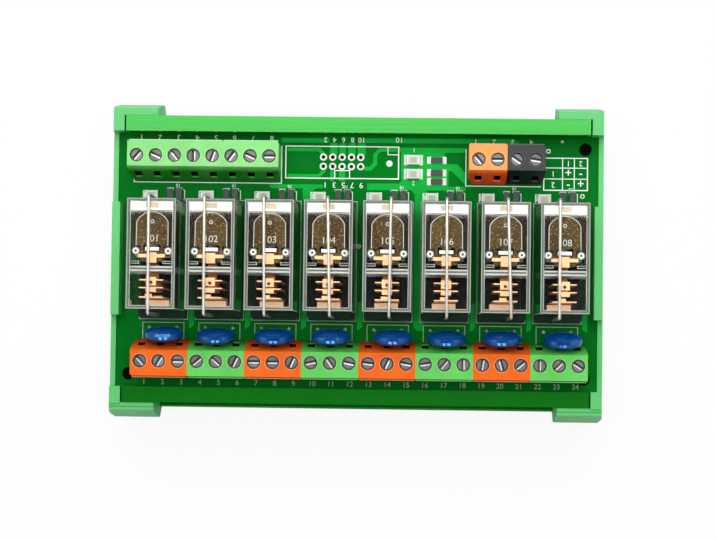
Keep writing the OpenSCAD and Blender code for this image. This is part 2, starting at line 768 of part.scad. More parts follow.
module relay_sockets() {
    socket_chamfer = 0.8;
    slot_x = contact_x + 0.2;
    slot_y = contact_y + 0.2;
    color([0.07, 0.08, 0.09])
    for (k = [0 : relays - 1]) difference() {
        at_relay(k)
            linear_extrude(socket_h)
                chamfered(case_w / 2, -case_end - socket_toe, socket_end, socket_chamfer);
        at_relay(k)
            for (p = PINS) {
                block([p[0] - slot_x / 2, p[0] + slot_x / 2], [p[1] - slot_y / 2, p[1] + slot_y / 2],
                      [contact_z[0], socket_h + eps]);
                translate([p[0], p[1], -eps])
                    cylinder(d = tail_d + 0.2, h = contact_z[0] + 2 * eps, $fn = 24);
            }
        at_clip(k)
            for (y = [clip_head_y, clip_toe_y])
                translate([0, y, socket_h - clip_seat])
                    cylinder(d = clip_d + 0.2, h = clip_seat + eps, $fn = 24);
    }
}

module socket_contacts() {
    tail_l = 1.8;
    grip_play = 0.03;
    color("gold")
    at_relays() for (p = PINS) translate([p[0], p[1], 0]) difference() {
        union() {
            block([-contact_x / 2, contact_x / 2], [-contact_y / 2, contact_y / 2], contact_z);
            translate([0, 0, -board_t - tail_l])
                cylinder(d = tail_d, h = board_t + tail_l + contact_z[0] + eps / 2, $fn = 24);
        }
        block([-contact_x, contact_x], [-relay_pin_t / 2 - grip_play, relay_pin_t / 2 + grip_play],
              [pin_bottom - 0.1, socket_h]);
    }
}

// One bent corner of the clip wire, turning from +Z at the origin to +Y
module clip_corner() {
    translate([0, clip_bend, 0]) rotate([90, 0, 90]) rotate(90)
        rotate_extrude(angle = 90, $fn = 48) translate([clip_bend, 0]) circle(d = clip_d, $fn = 20);
}

module clip_wire() {
    top = case_top + clip_gap + clip_d / 2;
    foot = socket_h - clip_seat + 0.1;
    translate([0, clip_toe_y, foot]) cylinder(d = clip_d, h = top - clip_bend - foot, $fn = 20);
    translate([0, clip_head_y, foot]) cylinder(d = clip_d, h = top - clip_bend - foot, $fn = 20);
    translate([0, clip_toe_y + clip_bend, top]) rotate([-90, 0, 0])
        cylinder(d = clip_d, h = clip_head_y - clip_toe_y - 2 * clip_bend, $fn = 20);
    translate([0, clip_toe_y, top - clip_bend]) clip_corner();
    translate([0, clip_head_y, top - clip_bend]) mirror([0, 1, 0]) clip_corner();
}

module socket_clips() {
    color("silver")
    for (k = [0 : relays - 1]) at_clip(k) clip_wire();
}

// Upright section of a box on the socket, chamfered along its top edges
module case_section(half) {
    polygon([[-half, socket_h - eps], [half, socket_h - eps], [half, case_top - cover_chamfer],
             [half - cover_chamfer, case_top], [-half + cover_chamfer, case_top],
             [-half, case_top - cover_chamfer]]);
}

// Clear cover: a shell open below, with two corner ribs under its ceiling
module relay_cover(k) {
    rib_y = hinge_y - 1.6;
    rib_x = inner_x - 2.2;
    rib_t = 0.6;
    rib_z = [ceiling - 1.3, ceiling + 0.1];
    color([0.9, 0.95, 0.95, 0.35])
    at_relay(k - 1) {
        difference() {
            intersection() {
                translate([0, 0, socket_h]) linear_extrude(case_h)
                    chamfered(case_w / 2, -case_end, case_end, cover_chamfer);
                along_x(-case_w / 2, case_w) case_section(case_end);
                translate([0, case_end, 0]) rotate([90, 0, 0]) linear_extrude(case_l)
                    case_section(case_w / 2);
            }
            block([-inner_x, inner_x], [-inner_end, inner_end], [socket_h - eps, ceiling]);
        }
        for (m = [0, 1]) mirror([m, 0, 0]) {
            block([rib_x, inner_x + 0.1], [rib_y, rib_y + rib_t], rib_z);
            block([rib_x, rib_x + rib_t], [rib_y, rib_y + inner_x - rib_x], rib_z);
        }
    }
}

// Slot that holds a relay pin at place p
module pin_slot(p, z0, z1) {
    w = relay_pin_w + pin_slot_play;
    t = relay_pin_t + pin_slot_play;
    block([p[0] - w / 2, p[0] + w / 2], [p[1] - t / 2, p[1] + t / 2], [z0, z1]);
}

// Base moulding: floor with pin slots, and the cross wall between magnet and contacts
module relay_bases() {
    wall_gap = 0.4;
    groove = [0.5, 0.6];
    x = inner_x - case_play;
    y = inner_end - case_play;
    color([0.93, 0.92, 0.88])
    at_relays() difference() {
        union() {
            block([-x, x], [-y, y], [socket_h, base_top]);
            block([-x, x], [wall_y0, wall_y0 + wall_t], [base_top - eps, ceiling - wall_gap]);
        }
        for (p = PINS) pin_slot(p, socket_h - eps, base_top + eps);
        // groove along the wall's top, and the gate for the arm of the moving contact
        block([-x - eps, x + eps], [wall_y0 + (wall_t - groove[0]) / 2, wall_y0 + (wall_t + groove[0]) / 2],
              [ceiling - wall_gap - groove[1], ceiling]);
        block([-gate_w / 2, gate_w / 2], [wall_y0 - eps, wall_y0 + wall_t + eps], GATE_Z);
    }
}

core_neck_d = core_d - 1.4;

module relay_yokes() {
    front_y = hinge_y + yoke_t;
    toe_from_end = 3.4;
    neck_drop = 1.2;
    color([0.55, 0.56, 0.58])
    at_relays() difference() {
        union() {
            block([-yoke_w / 2, yoke_w / 2], [hinge_y, case_end - toe_from_end],
                  [base_top, base_top + yoke_t]);
            block([-yoke_w / 2, yoke_w / 2], [hinge_y, front_y], [base_top, bobbin_top - neck_drop]);
            block([-waist / 2, waist / 2], [hinge_y, front_y], [base_top, yoke_top]);
        }
        translate([0, core_y, base_top - eps])
            cylinder(d = core_neck_d + 0.1, h = yoke_t + 2 * eps, $fn = 24);
    }
}

module relay_cores() {
    color([0.62, 0.62, 0.64])
    at_relays() translate([0, core_y, 0]) {
        translate([0, 0, base_top + 0.1]) cylinder(d = core_neck_d, h = yoke_t + eps, $fn = 24);
        translate([0, 0, base_top + yoke_t]) cylinder(d = core_d, h = pole_top - base_top - yoke_t, $fn = 32);
        translate([0, 0, pole_top - pole_t]) cylinder(d = pole_d, h = pole_t, $fn = 32);
    }
}

bobbin_z = base_top + yoke_t + 0.1;
bobbin_top = pole_top - pole_t;
coil_pin_rise = 2.8;
tube_bore = core_d + 0.2;
tube_d = tube_bore + 2 * bobbin_t;

// Bobbin: tube, two cheeks, the end post that carries the coil pins, two guide posts
// and the rib that shows in the armature's slot
module relay_bobbins() {
    x = inner_x - case_play;
    y0 = hinge_y + yoke_t + 0.2;
    y1 = inner_end - case_play;
    bar_l = 2.1;
    bar_top = armature_top + 0.6;
    boss = [3.3, 1.3, 0.4];
    boss_inset = 0.2;
    rib = [3.6, 0.9];
    post_top = armature_top + 0.4;
    dimple = [0.8, 0.6];
    color([0.95, 0.94, 0.9])
    at_relays() difference() {
        union() {
            translate([0, core_y, bobbin_z]) cylinder(d = tube_d, h = bobbin_top - bobbin_z, $fn = 32);
            for (z = [bobbin_z, bobbin_top - bobbin_t])
                block([-x, x], [y0, y1], [z, z + bobbin_t]);
            block([-x, x], [y1 - bar_l, y1], [base_top, bar_top]);
            block([-boss[0] / 2, boss[0] / 2], [y1 - boss_inset - boss[1], y1 - boss_inset],
                  [bar_top - eps, bar_top + boss[2]]);
            block([-rib[0] / 2, rib[0] / 2], [y0 + 0.15, y0 + 0.15 + rib[1]],
                  [bobbin_top - eps, armature_top + 0.1]);
            for (s = [-1, 1])
                translate([s * post_x, post_y, bobbin_top - eps])
                    cylinder(r = post_r, h = post_top - bobbin_top + eps, $fn = 24);
        }
        translate([0, core_y, bobbin_z - eps]) cylinder(d = tube_bore, h = bobbin_top, $fn = 32);
        for (s = [-1, 1]) {
            pin_slot([s * coil_pin_x, coil_pin_y], base_top - eps, base_top + coil_pin_rise + 0.2);
            translate([s * post_x, post_y, post_top - dimple[1]]) cylinder(d = dimple[0], h = 2, $fn = 20);
        }
    }
}

module relay_coils() {
    z0 = bobbin_z + bobbin_t + 0.05;
    color([0.72, 0.36, 0.16])
    at_relays() translate([0, core_y, z0]) difference() {
        cylinder(d = coil_d * case_stretch, h = bobbin_top - bobbin_t - 0.05 - z0, $fn = 40);
        translate([0, 0, -eps]) cylinder(d = tube_d + 0.1, h = bobbin_top, $fn = 32);
    }
}

// Fixed contact: a blade standing on the base with a tab bent over at its top, its rivet
// on side dir and its pin below
module fixed_contact(y, dir, gap, pin_x, tab, tab_x, tab_shift = 0) {
    rivet_h = dir > 0 ? (gap - open_gap) / 2 : (gap - rest_gap) / 2;
    block([-spring_w / 2, spring_w / 2], [y - spring_t / 2, y + spring_t / 2], [base_top, blade_top]);
    block([tab_shift - tab_x / 2, tab_shift + tab_x / 2], [y + tab[0], y + tab[1]],
          [blade_top - spring_t, blade_top]);
    translate([0, y, rivet_z]) rotate([dir > 0 ? -90 : 90, 0, 0])
        cylinder(d = rivet_d, h = spring_t / 2 + rivet_h, $fn = 24);
    block([pin_x - relay_pin_w / 2, pin_x + relay_pin_w / 2],
          [y - relay_pin_t / 2, y + relay_pin_t / 2], [pin_bottom, base_top + pin_root]);
}

tab_x = 2.6;
break_tab = [-1.4, 0.75];
moving_tab = 1.1;
make_tab = 0.85;
make_tab_x = 1.8;
make_shift = -0.6;

module break_contacts() {
    hole_y = -0.65;
    hole_d = 0.9;
    color([0.85, 0.5, 0.28])
    at_relays() difference() {
        fixed_contact(break_y, -1, break_gap, 0, break_tab, tab_x);
        // gate for the arm of the moving contact, and the hole in the tab
        block([-gate_w / 2, gate_w / 2], [break_y - spring_t, break_y + spring_t], GATE_Z);
        translate([0, break_y + hole_y, blade_top - 2 * spring_t])
            cylinder(d = hole_d, h = 3 * spring_t, $fn = 24);
    }
}

module make_contacts() {
    color([0.85, 0.5, 0.28])
    at_relays()
        fixed_contact(make_y, 1, make_gap, -side_pin_x, [-spring_t / 2, make_tab], make_tab_x, make_shift);
}

module common_terminals() {
    color([0.88, 0.62, 0.38])
    at_relays() {
        block([common_shift - common_w / 2, common_shift + common_w / 2],
              [common_y - common_t / 2, common_y + common_t / 2], [base_top, base_top + common_h]);
        block([side_pin_x - relay_pin_w / 2, side_pin_x + relay_pin_w / 2],
              [common_y - relay_pin_t / 2, common_y + relay_pin_t / 2], [pin_bottom, base_top + eps]);
    }
}

module coil_pins() {
    color("silver")
    at_relays() for (s = [-1, 1])
        block([s * coil_pin_x - relay_pin_w / 2, s * coil_pin_x + relay_pin_w / 2],
              [coil_pin_y - relay_pin_t / 2, coil_pin_y + relay_pin_t / 2],
              [pin_bottom, base_top + coil_pin_rise]);
}

// Armature: arch-tipped plate over the pole, waisted between the guide posts, and its leg
module relay_armature(k) {
    arch_r = (pow(armature_w / 2, 2) + pow(arch_rise, 2)) / (2 * arch_rise);
    leg_out = hinge_y - hinge_play;
    slot_x = 2.25;
    slot_y0 = hinge_y + yoke_t + 0.15;
    slot_l = 1.9;
    color([0.45, 0.32, 0.2])
    at_relay(k - 1) {
        translate([0, 0, armature_z]) linear_extrude(armature_t) difference() {
            union() {
                intersection() {
                    translate([-armature_w / 2, waist_y]) square([armature_w, tip_y - waist_y]);
                    union() {
                        translate([-armature_w / 2, waist_y])
                            square([armature_w, tip_y - arch_rise - waist_y]);
                        translate([0, tip_y - arch_r]) circle(r = arch_r, $fn = 64);
                    }
                }
                translate([-waist / 2, leg_out - armature_t])
                    square([waist, waist_y - leg_out + armature_t + eps]);
            }
            // slot over the bobbin's rib
            chamfered(slot_x, slot_y0, slot_y0 + slot_l, 0.35);
        }
        block([-waist / 2, waist / 2], [leg_out - armature_t, leg_out],
              [armature_z - leg_drop, armature_z + eps]);
    }
}

// Moving contact: a cross on the armature, a strap down its leg, an arm through the gates
// and the blade with a tab bent over at its top
module moving_contact(k) {
    z0 = armature_top;
    leg_y0 = hinge_y - hinge_play - armature_t;
    cross_y = leg_y0 + 1.05;
    arm_reach = 2.4;
    blade_bottom = rivet_z - rivet_d / 2 - 1;
    color([0.85, 0.45, 0.2])
    at_relay(k - 1) {
        block([-cross_w / 2, cross_w / 2], [cross_y, cross_y + cross_l], [z0, z0 + spring_t]);
        block([-arm_w / 2, arm_w / 2], [leg_y0 - spring_t, leg_y0 + arm_reach], [z0, z0 + spring_t]);
        block([-arm_w / 2, arm_w / 2], [leg_y0 - spring_t, leg_y0], [arm_z, z0 + spring_t]);
        block([-arm_w / 2, arm_w / 2], [moving_y - spring_t / 2, leg_y0], [arm_z, arm_z + spring_t]);
        block([-spring_w / 2, spring_w / 2], [moving_y - spring_t / 2, moving_y + spring_t / 2],
              [blade_bottom, blade_top]);
        block([-tab_x / 2, tab_x / 2], [moving_y - moving_tab, moving_y],
              [blade_top - spring_t, blade_top]);
        translate([0, moving_y, rivet_z]) {
            rotate([-90, 0, 0])
                cylinder(d = rivet_d, h = spring_t / 2 + (break_gap - rest_gap) / 2, $fn = 24);
            rotate([90, 0, 0])
                cylinder(d = rivet_d, h = spring_t / 2 + (make_gap - open_gap) / 2, $fn = 24);
        }
    }
}

// ------------------------------------------------------------ small parts

// One side of a disc's crowned section, as points from the axis to the rim
function disc_side() = [for (a = [0 : 15 : 75])
    [varistor_d / 2 * sin(a), varistor_t / 2 * pow(cos(a), 0.75)]];

// Round rod from point a to point b
module rod(a, b, d) {
    v = b - a;
    translate(a) rotate([0, acos(v[2] / norm(v)), atan2(v[1], v[0])])
        cylinder(d = d, h = norm(v), $fn = 20);
}

module varistors() {
    r = varistor_d / 2;
    side = disc_side();
    n = len(side);
    section = concat(side, [[r, 0]], [for (i = [n - 1 : -1 : 0]) [side[i][0], -side[i][1]]]);
    grip = [2.8, 3];
    knee = 0.35;
    color([0.05, 0.32, 0.78])
    for (k = [0 : relays - 1]) translate([relay_x(k), varistor_y, board_top]) {
        lean = varistor_leans[k];
        bend = varistor_bends[k];
        translate([bend, 0, 0]) rotate([lean, 0, 0]) translate([0, 0, varistor_rise])
            rotate([90, 0, 0]) rotate_extrude($fn = 48) polygon(section);
        for (s = [-1, 1]) {
            translate([s * varistor_legs / 2, leg_set, -board_t - pin_tail])
                cylinder(d = varistor_leg_d, h = board_t + pin_tail + 2 * knee, $fn = 20);
            rod([s * varistor_legs / 2, leg_set, knee],
                [bend + s * grip[0], -(varistor_rise - grip[1]) * sin(lean),
                 (varistor_rise - grip[1]) * cos(lean)], 0.88 * varistor_leg_d);
        }
    }
}

// Chip part lying along X, with two metal ends and a body between them
module chip(l, w, h) {
    cap = 0.17 * l;
    step = 0.05;
    block([-l / 2, -l / 2 + cap], [-w / 2, w / 2], [0, h]);
    block([l / 2 - cap, l / 2], [-w / 2, w / 2], [0, h]);
    block([-l / 2 + cap / 2, l / 2 - cap / 2], [-w / 2 + step, w / 2 - step], [step, h - step]);
}

module indicator_lights() {
    color("white") {
        for (k = [0 : relays - 1])
            translate([relay_x(k) + relay_light_x, chip_row_y + light_w / 2, board_top])
                chip(light_l, light_w, light_h);
        for (p = STATUS_LIGHTS)
            translate([p[0], p[1], board_top]) chip(light_l, light_w, light_h);
    }
}

module chip_resistors() {
    color([0.1, 0.1, 0.1]) {
        for (k = [0 : relays - 1])
            translate([relay_x(k) + relay_resistor_x, chip_row_y + chip_l / 2, board_top])
                rotate(90) chip(chip_l, chip_w, chip_h);
        for (p = STATUS_RESISTORS)
            translate([p[0], p[1], board_top]) chip(chip_l, chip_w, chip_h);
    }
}

module chip_diodes() {
    color([0.12, 0.12, 0.13])
    for (k = [0 : relays - 1])
        translate([relay_x(k) + relay_diode_x, chip_row_y + chip_l / 2, board_top])
            rotate(90) chip(chip_l, chip_w, light_h);
}

carrier_profile();
end_foot_left();
end_foot_right();
circuit_board();
input_terminal_1();
input_terminal_2();
supply_terminal_1();
supply_terminal_2();
output_terminal(1);  // output_terminal_1
output_terminal(2);  // output_terminal_2
output_terminal(3);  // output_terminal_3
output_terminal(4);  // output_terminal_4
output_terminal(5);  // output_terminal_5
output_terminal(6);  // output_terminal_6
output_terminal(7);  // output_terminal_7
output_terminal(8);  // output_terminal_8
terminal_screws();
wire_clamps();
terminal_pins();
relay_sockets();
socket_contacts();
socket_clips();
relay_cover(1);  // relay_cover_1
relay_cover(2);  // relay_cover_2
relay_cover(3);  // relay_cover_3
relay_cover(4);  // relay_cover_4
relay_cover(5);  // relay_cover_5
relay_cover(6);  // relay_cover_6
relay_cover(7);  // relay_cover_7
relay_cover(8);  // relay_cover_8
relay_bases();
relay_bobbins();
relay_coils();
relay_cores();
relay_yokes();
break_contacts();
make_contacts();
common_terminals();
coil_pins();
relay_armature(1);  // relay_armature_1
relay_armature(2);  // relay_armature_2
relay_armature(3);  // relay_armature_3
relay_armature(4);  // relay_armature_4
relay_armature(5);  // relay_armature_5
relay_armature(6);  // relay_armature_6
relay_armature(7);  // relay_armature_7
relay_armature(8);  // relay_armature_8
moving_contact(1);  // moving_contact_1
moving_contact(2);  // moving_contact_2
moving_contact(3);  // moving_contact_3
moving_contact(4);  // moving_contact_4
moving_contact(5);  // moving_contact_5
moving_contact(6);  // moving_contact_6
moving_contact(7);  // moving_contact_7
moving_contact(8);  // moving_contact_8
varistors();
indicator_lights();
chip_resistors();
chip_diodes();
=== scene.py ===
import math

import bpy
from mathutils import Euler, Matrix, Vector


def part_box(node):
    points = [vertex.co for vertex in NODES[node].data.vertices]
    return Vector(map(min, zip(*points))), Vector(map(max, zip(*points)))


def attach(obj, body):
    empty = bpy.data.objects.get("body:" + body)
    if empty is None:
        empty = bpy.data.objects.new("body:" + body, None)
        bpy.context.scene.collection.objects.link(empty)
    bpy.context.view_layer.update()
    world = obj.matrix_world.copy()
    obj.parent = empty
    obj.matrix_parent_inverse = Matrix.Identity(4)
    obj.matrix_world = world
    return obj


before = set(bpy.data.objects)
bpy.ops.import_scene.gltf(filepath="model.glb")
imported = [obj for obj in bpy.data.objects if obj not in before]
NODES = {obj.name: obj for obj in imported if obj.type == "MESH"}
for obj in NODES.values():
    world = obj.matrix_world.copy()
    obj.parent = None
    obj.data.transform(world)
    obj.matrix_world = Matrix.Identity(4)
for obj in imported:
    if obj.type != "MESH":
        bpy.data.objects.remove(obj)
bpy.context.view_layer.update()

MM = 0.001
RELAYS = range(1, 9)

BOARD_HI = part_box("circuit_board")[1]
BOARD_TOP = BOARD_HI.z / MM
RELAY_X = [sum(c.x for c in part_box(f"relay_cover_{k}")) / 2 / MM for k in RELAYS]
RELAY_Y = sum(c.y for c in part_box("relay_cover_1")) / 2 / MM
CASE_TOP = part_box("relay_cover_1")[1].z / MM
CASE_HALF_W = (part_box("relay_cover_1")[1].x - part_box("relay_cover_1")[0].x) / 2 / MM
CASE_HALF_L = (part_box("relay_cover_1")[1].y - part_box("relay_cover_1")[0].y) / 2 / MM
WAY = 5.08
COVER_WALL = 0.8
# a post beside the armature: its distance from the relay's middle line, and its place along Y
POST_X, POST_Y = 4.2, 0.75

# ------------------------------------------------------------- materials


def shader(name):
    """A material with one Principled shader: (material, tree, shader)."""
    m = bpy.data.materials.new(name)
    m.use_nodes = True
    nt = m.node_tree
    nt.nodes.clear()
    out = nt.nodes.new("ShaderNodeOutputMaterial")
    b = nt.nodes.new("ShaderNodeBsdfPrincipled")
    nt.links.new(b.outputs[0], out.inputs[0])
    return m, nt, b


def socket(m, name):
    """An input of a material's Principled shader."""
    return m.node_tree.nodes["Principled BSDF"].inputs[name]


def place(nt, stretch=(1, 1, 1), turn=(0, 0, 0)):
    """The row-frame position of the surface, stretched for a grain that runs one way."""
    at = nt.nodes.new("ShaderNodeTexCoord")
    to = nt.nodes.new("ShaderNodeMapping")
    to.inputs["Scale"].default_value = stretch
    to.inputs["Rotation"].default_value = turn
    nt.links.new(at.outputs["Object"], to.inputs["Vector"])
    return to.outputs["Vector"]


def noise(nt, vector, scale, detail=3.0, rough=0.55):
    """Noise from 0 to 1 at a vector."""
    n = nt.nodes.new("ShaderNodeTexNoise")
    n.inputs["Scale"].default_value = scale
    n.inputs["Detail"].default_value = detail
    n.inputs["Roughness"].default_value = rough
    nt.links.new(vector, n.inputs["Vector"])
    return n.outputs["Fac"]


def ramp(nt, fac, stops):
    """Colours along fac, from (place, colour) stops."""
    r = nt.nodes.new("ShaderNodeValToRGB")
    r.color_ramp.elements[0].position = stops[0][0]
    r.color_ramp.elements[0].color = (*stops[0][1], 1)
    r.color_ramp.elements[1].position = stops[-1][0]
    r.color_ramp.elements[1].color = (*stops[-1][1], 1)
    for p, c in stops[1:-1]:
        e = r.color_ramp.elements.new(p)
        e.color = (*c, 1)
    nt.links.new(fac, r.inputs["Fac"])
    return r.outputs["Color"]


def span(nt, fac, low, high):
    """fac from 0..1 mapped to low..high."""
    r = nt.nodes.new("ShaderNodeMapRange")
    r.inputs["To Min"].default_value = low
    r.inputs["To Max"].default_value = high
    nt.links.new(fac, r.inputs["Value"])
    return r.outputs["Result"]


def bump(nt, b, height, distance, strength=1.0):
    """Relief of a material, distance in metres."""
    n = nt.nodes.new("ShaderNodeBump")
    n.inputs["Distance"].default_value = distance
    n.inputs["Strength"].default_value = strength
    nt.links.new(height, n.inputs["Height"])
    nt.links.new(n.outputs["Normal"], b.inputs["Normal"])


def shades(colour, spread):
    """Two shades of a colour, spread either side of it."""
    return [tuple(min(1, c * k) for c in colour) for k in (1 - spread, 1 + spread)]


def plastic(name, colour, rough, grain=900, relief=0.00002, spread=0.06, stretch=(1, 1, 1),
            specular=0.5, tint=None):
    """Moulded or extruded plastic: slow colour drift, fine grain in gloss and relief."""
    m, nt, b = shader(name)
    slow = noise(nt, place(nt), 45, 2)
    fine = noise(nt, place(nt, stretch), grain, 4)
    dark, light = shades(colour, spread)
    nt.links.new(ramp(nt, slow, [(0.3, dark), (0.7, light)]), b.inputs["Base Color"])
    nt.links.new(span(nt, fine, rough * 0.8, rough * 1.2), b.inputs["Roughness"])
    b.inputs["Specular IOR Level"].default_value = specular
    if tint:
        b.inputs["Specular Tint"].default_value = (*tint, 1)
    bump(nt, b, fine, relief)
    return m


def metal(name, colour, rough, grain=700, stretch=(1, 1, 1), spread=0.12, relief=0.00001):
    """Drawn, stamped or plated metal with fine lines along its grain."""
    m, nt, b = shader(name)
    fine = noise(nt, place(nt, stretch), grain, 4)
    slow = noise(nt, place(nt), 220, 2)
    dark, light = shades(colour, spread)
    nt.links.new(ramp(nt, slow, [(0.3, dark), (0.7, light)]), b.inputs["Base Color"])
    nt.links.new(span(nt, fine, rough * 0.75, rough * 1.25), b.inputs["Roughness"])
    b.inputs["Metallic"].default_value = 1.0
    bump(nt, b, fine, relief)
    return m


def mask_above(nt, axis, level, soft=0.00005):
    """1 above a level along one axis of the row frame, 0 below it."""
    at = nt.nodes.new("ShaderNodeTexCoord")
    xyz = nt.nodes.new("ShaderNodeSeparateXYZ")
    nt.links.new(at.outputs["Object"], xyz.inputs[0])
    r = nt.nodes.new("ShaderNodeMapRange")
    r.inputs["From Min"].default_value = level - soft
    r.inputs["From Max"].default_value = level + soft
    nt.links.new(xyz.outputs[axis], r.inputs["Value"])
    return r.outputs["Result"]


def either(nt, a, b):
    """The greater of two values."""
    n = nt.nodes.new("ShaderNodeMath")
    n.operation = "MAXIMUM"
    nt.links.new(a, n.inputs[0])
    nt.links.new(b, n.inputs[1])
    return n.outputs[0]


def two_tone(name, low, high, mask, rough, metallic=0.0, spread=0.08, grain=900, relief=0.00002):
    """One material in two colours, for real two-colour parts and for painted shade: mask(nt) is 1 where the
    second colour shows.
    """
    m, nt, b = shader(name)
    fine = noise(nt, place(nt), grain, 4)
    slow = noise(nt, place(nt), 160, 2)
    tones = [ramp(nt, slow, list(zip((0.3, 0.7), shades(c, spread)))) for c in (low, high)]
    mix = nt.nodes.new("ShaderNodeMix")
    mix.data_type = "RGBA"
    nt.links.new(mask(nt), mix.inputs["Factor"])
    nt.links.new(tones[0], mix.inputs["A"])
    nt.links.new(tones[1], mix.inputs["B"])
    nt.links.new(mix.outputs["Result"], b.inputs["Base Color"])
    nt.links.new(span(nt, fine, rough * 0.8, rough * 1.2), b.inputs["Roughness"])
    b.inputs["Metallic"].default_value = metallic
    bump(nt, b, fine, relief)
    return m


def tone_over(m, mask, colour):
    """Lay one more colour over a material where the mask is 1."""
    nt = m.node_tree
    base = socket(m, "Base Color")
    under = base.links[0].from_socket
    mix = nt.nodes.new("ShaderNodeMix")
    mix.data_type = "RGBA"
    nt.links.new(mask(nt), mix.inputs["Factor"])
    nt.links.new(under, mix.inputs["A"])
    grain = noise(nt, place(nt), 60, 1)
    nt.links.new(ramp(nt, grain, list(zip((0.35, 0.65), shades(colour, 0.06)))), mix.inputs["B"])
    nt.links.new(mix.outputs["Result"], base)


def clear_plastic(name):
    """Clear polished plastic that lets lamps through to what it covers."""
    m, nt, b = shader(name)
    fine = noise(nt, place(nt), 500, 2)
    b.inputs["Base Color"].default_value = (0.97, 0.985, 0.975, 1)
    b.inputs["Transmission Weight"].default_value = 1.0
    b.inputs["IOR"].default_value = 1.49
    nt.links.new(span(nt, fine, 0.01, 0.03), b.inputs["Roughness"])
    bump(nt, b, noise(nt, place(nt), 120, 1), 0.000006, 0.4)
    path = nt.nodes.new("ShaderNodeLightPath")
    gap = nt.nodes.new("ShaderNodeBsdfTransparent")
    gap.inputs["Color"].default_value = (0.96, 0.97, 0.96, 1)
    mix = nt.nodes.new("ShaderNodeMixShader")
    nt.links.new(path.outputs["Is Shadow Ray"], mix.inputs["Fac"])
    nt.links.new(b.outputs[0], mix.inputs[1])
    nt.links.new(gap.outputs[0], mix.inputs[2])
    out = next(n for n in nt.nodes if n.type == "OUTPUT_MATERIAL")
    nt.links.new(mix.outputs[0], out.inputs[0])
    return m


CARRIER = plastic("carrier_green", (0.002, 0.145, 0.004), 0.16, 1500, 0.000012, 0.05, (0.02, 1, 1),
                  1.0, (0.22, 1.0, 0.26))
FOOT = plastic("foot_green", (0.10, 0.54, 0.15), 0.42, 1300, 0.00003, 0.05, (1, 1, 1), 0.22)
LACQUER = plastic("board_lacquer", (0.0004, 0.150, 0.011), 0.36, 260, 0.00002, 0.12, (1, 1, 1), 0.05,
                  (0.2, 1.0, 0.3))
POUR = plastic("lacquer_on_copper", (0.006, 0.37, 0.042), 0.34, 260, 0.00002, 0.10, (1, 1, 1), 0.08,
               (0.2, 1.0, 0.3))
BLACK = plastic("black_plastic", (0.007, 0.009, 0.008), 0.36, specular=0.25)
SOCKET = plastic("socket_black", (0.004, 0.020, 0.009), 0.40, specular=0.1)
WHITE = plastic("white_body", (0.56, 0.58, 0.54), 0.35)
CHIP = plastic("chip_black", (0.02, 0.02, 0.022), 0.45, specular=0.3)
INK = plastic("white_ink", (0.90, 0.94, 0.88), 0.55, 2000, specular=0.2)
# ink painted dimmer, a painted shade for print that lies in the parts' shadow
SHADE_DIM_INK = plastic("shade_dimmed_ink", (0.44, 0.52, 0.43), 0.55, 2000, specular=0.2)
ZINC = metal("zinc_steel", (0.40, 0.40, 0.39), 0.42, 600)
WIRE = metal("spring_wire", (0.40, 0.39, 0.35), 0.30, 900, (1, 0.05, 1))
TIN = metal("solder_tin", (0.34, 0.36, 0.33), 0.5, 700)
WINDING = metal("winding", (0.62, 0.25, 0.08), 0.32, 900, (1, 1, 12))
IRON = metal("soft_iron", (0.25, 0.25, 0.24), 0.40, 500)
# painted highlight for the clear covers' edges and the armatures' rims; it also colours the armatures'
# dimples and numbers
EDGE = plastic("edge_highlights_and_marks", (0.42, 0.43, 0.39), 0.40, 1200, specular=0.3)
# painted highlights on the clear covers' ribs
RIB_HIGHLIGHT = plastic("clear_rib_highlight", (0.44, 0.45, 0.41), 0.40, 1200, specular=0.2)
# painted grey standing for the light and shade in the clear covers' walls
WALL_SHADING = plastic("clear_wall_shading", (0.12, 0.135, 0.115), 0.40, 1200, specular=0.1)
LENS = plastic("light_lens", (0.36, 0.40, 0.31), 0.35, 900, specular=0.2)
# painted highlight on the lit side of each screw slot
SLOT_HIGHLIGHT = metal("painted_slot_highlight", (0.52, 0.52, 0.50), 0.5, 900)
# painted highlights along the terminal blocks' lips and round their screw wells
LIP_HIGHLIGHT_GREEN = plastic("lip_highlight_green", (0.42, 0.78, 0.38), 0.5, specular=0.2)
LIP_HIGHLIGHT_ORANGE = plastic("lip_highlight_orange", (0.92, 0.44, 0.27), 0.5, specular=0.2)
# painted shade lines at the foot of the terminal blocks' steps
STEP_SHADE_GREEN = plastic("step_shade_green", (0.02, 0.20, 0.02), 0.5, specular=0.1)
STEP_SHADE_ORANGE = plastic("step_shade_orange", (0.45, 0.05, 0.01), 0.5, specular=0.1)
# painted highlight along the black block's lip
LIP_HIGHLIGHT_BLACK = plastic("lip_highlight_black", (0.10, 0.10, 0.10), 0.5, specular=0.2)
# painted shade: dark plates and discs in the test windows, under the mounting holes and at the black block's
# step
PAINTED_DARK = plastic("painted_shade_dark", (0.003, 0.004, 0.003), 0.80, specular=0.02)
# painted shade: a dark ring round each screw head in its well
RIM_SHADE = metal("screw_rim_shade", (0.05, 0.05, 0.048), 0.4, 900)
SHADE = plastic("wall_shade", (0.10, 0.11, 0.095), 0.5, specular=0.2)
CLEAR = clear_plastic("clear_cover")


def over_board(axis, level):
    """A mask that is 1 above a height over the board, or beyond a Y place in every relay."""
    start = BOARD_TOP if axis == "Z" else RELAY_Y
    return lambda nt: mask_above(nt, axis, (start + level) * MM)


# where the painted shade on the sloped backs of the far and the near blocks begins, along Y
FAR_BACK, NEAR_BACK = 24.1, -23.3


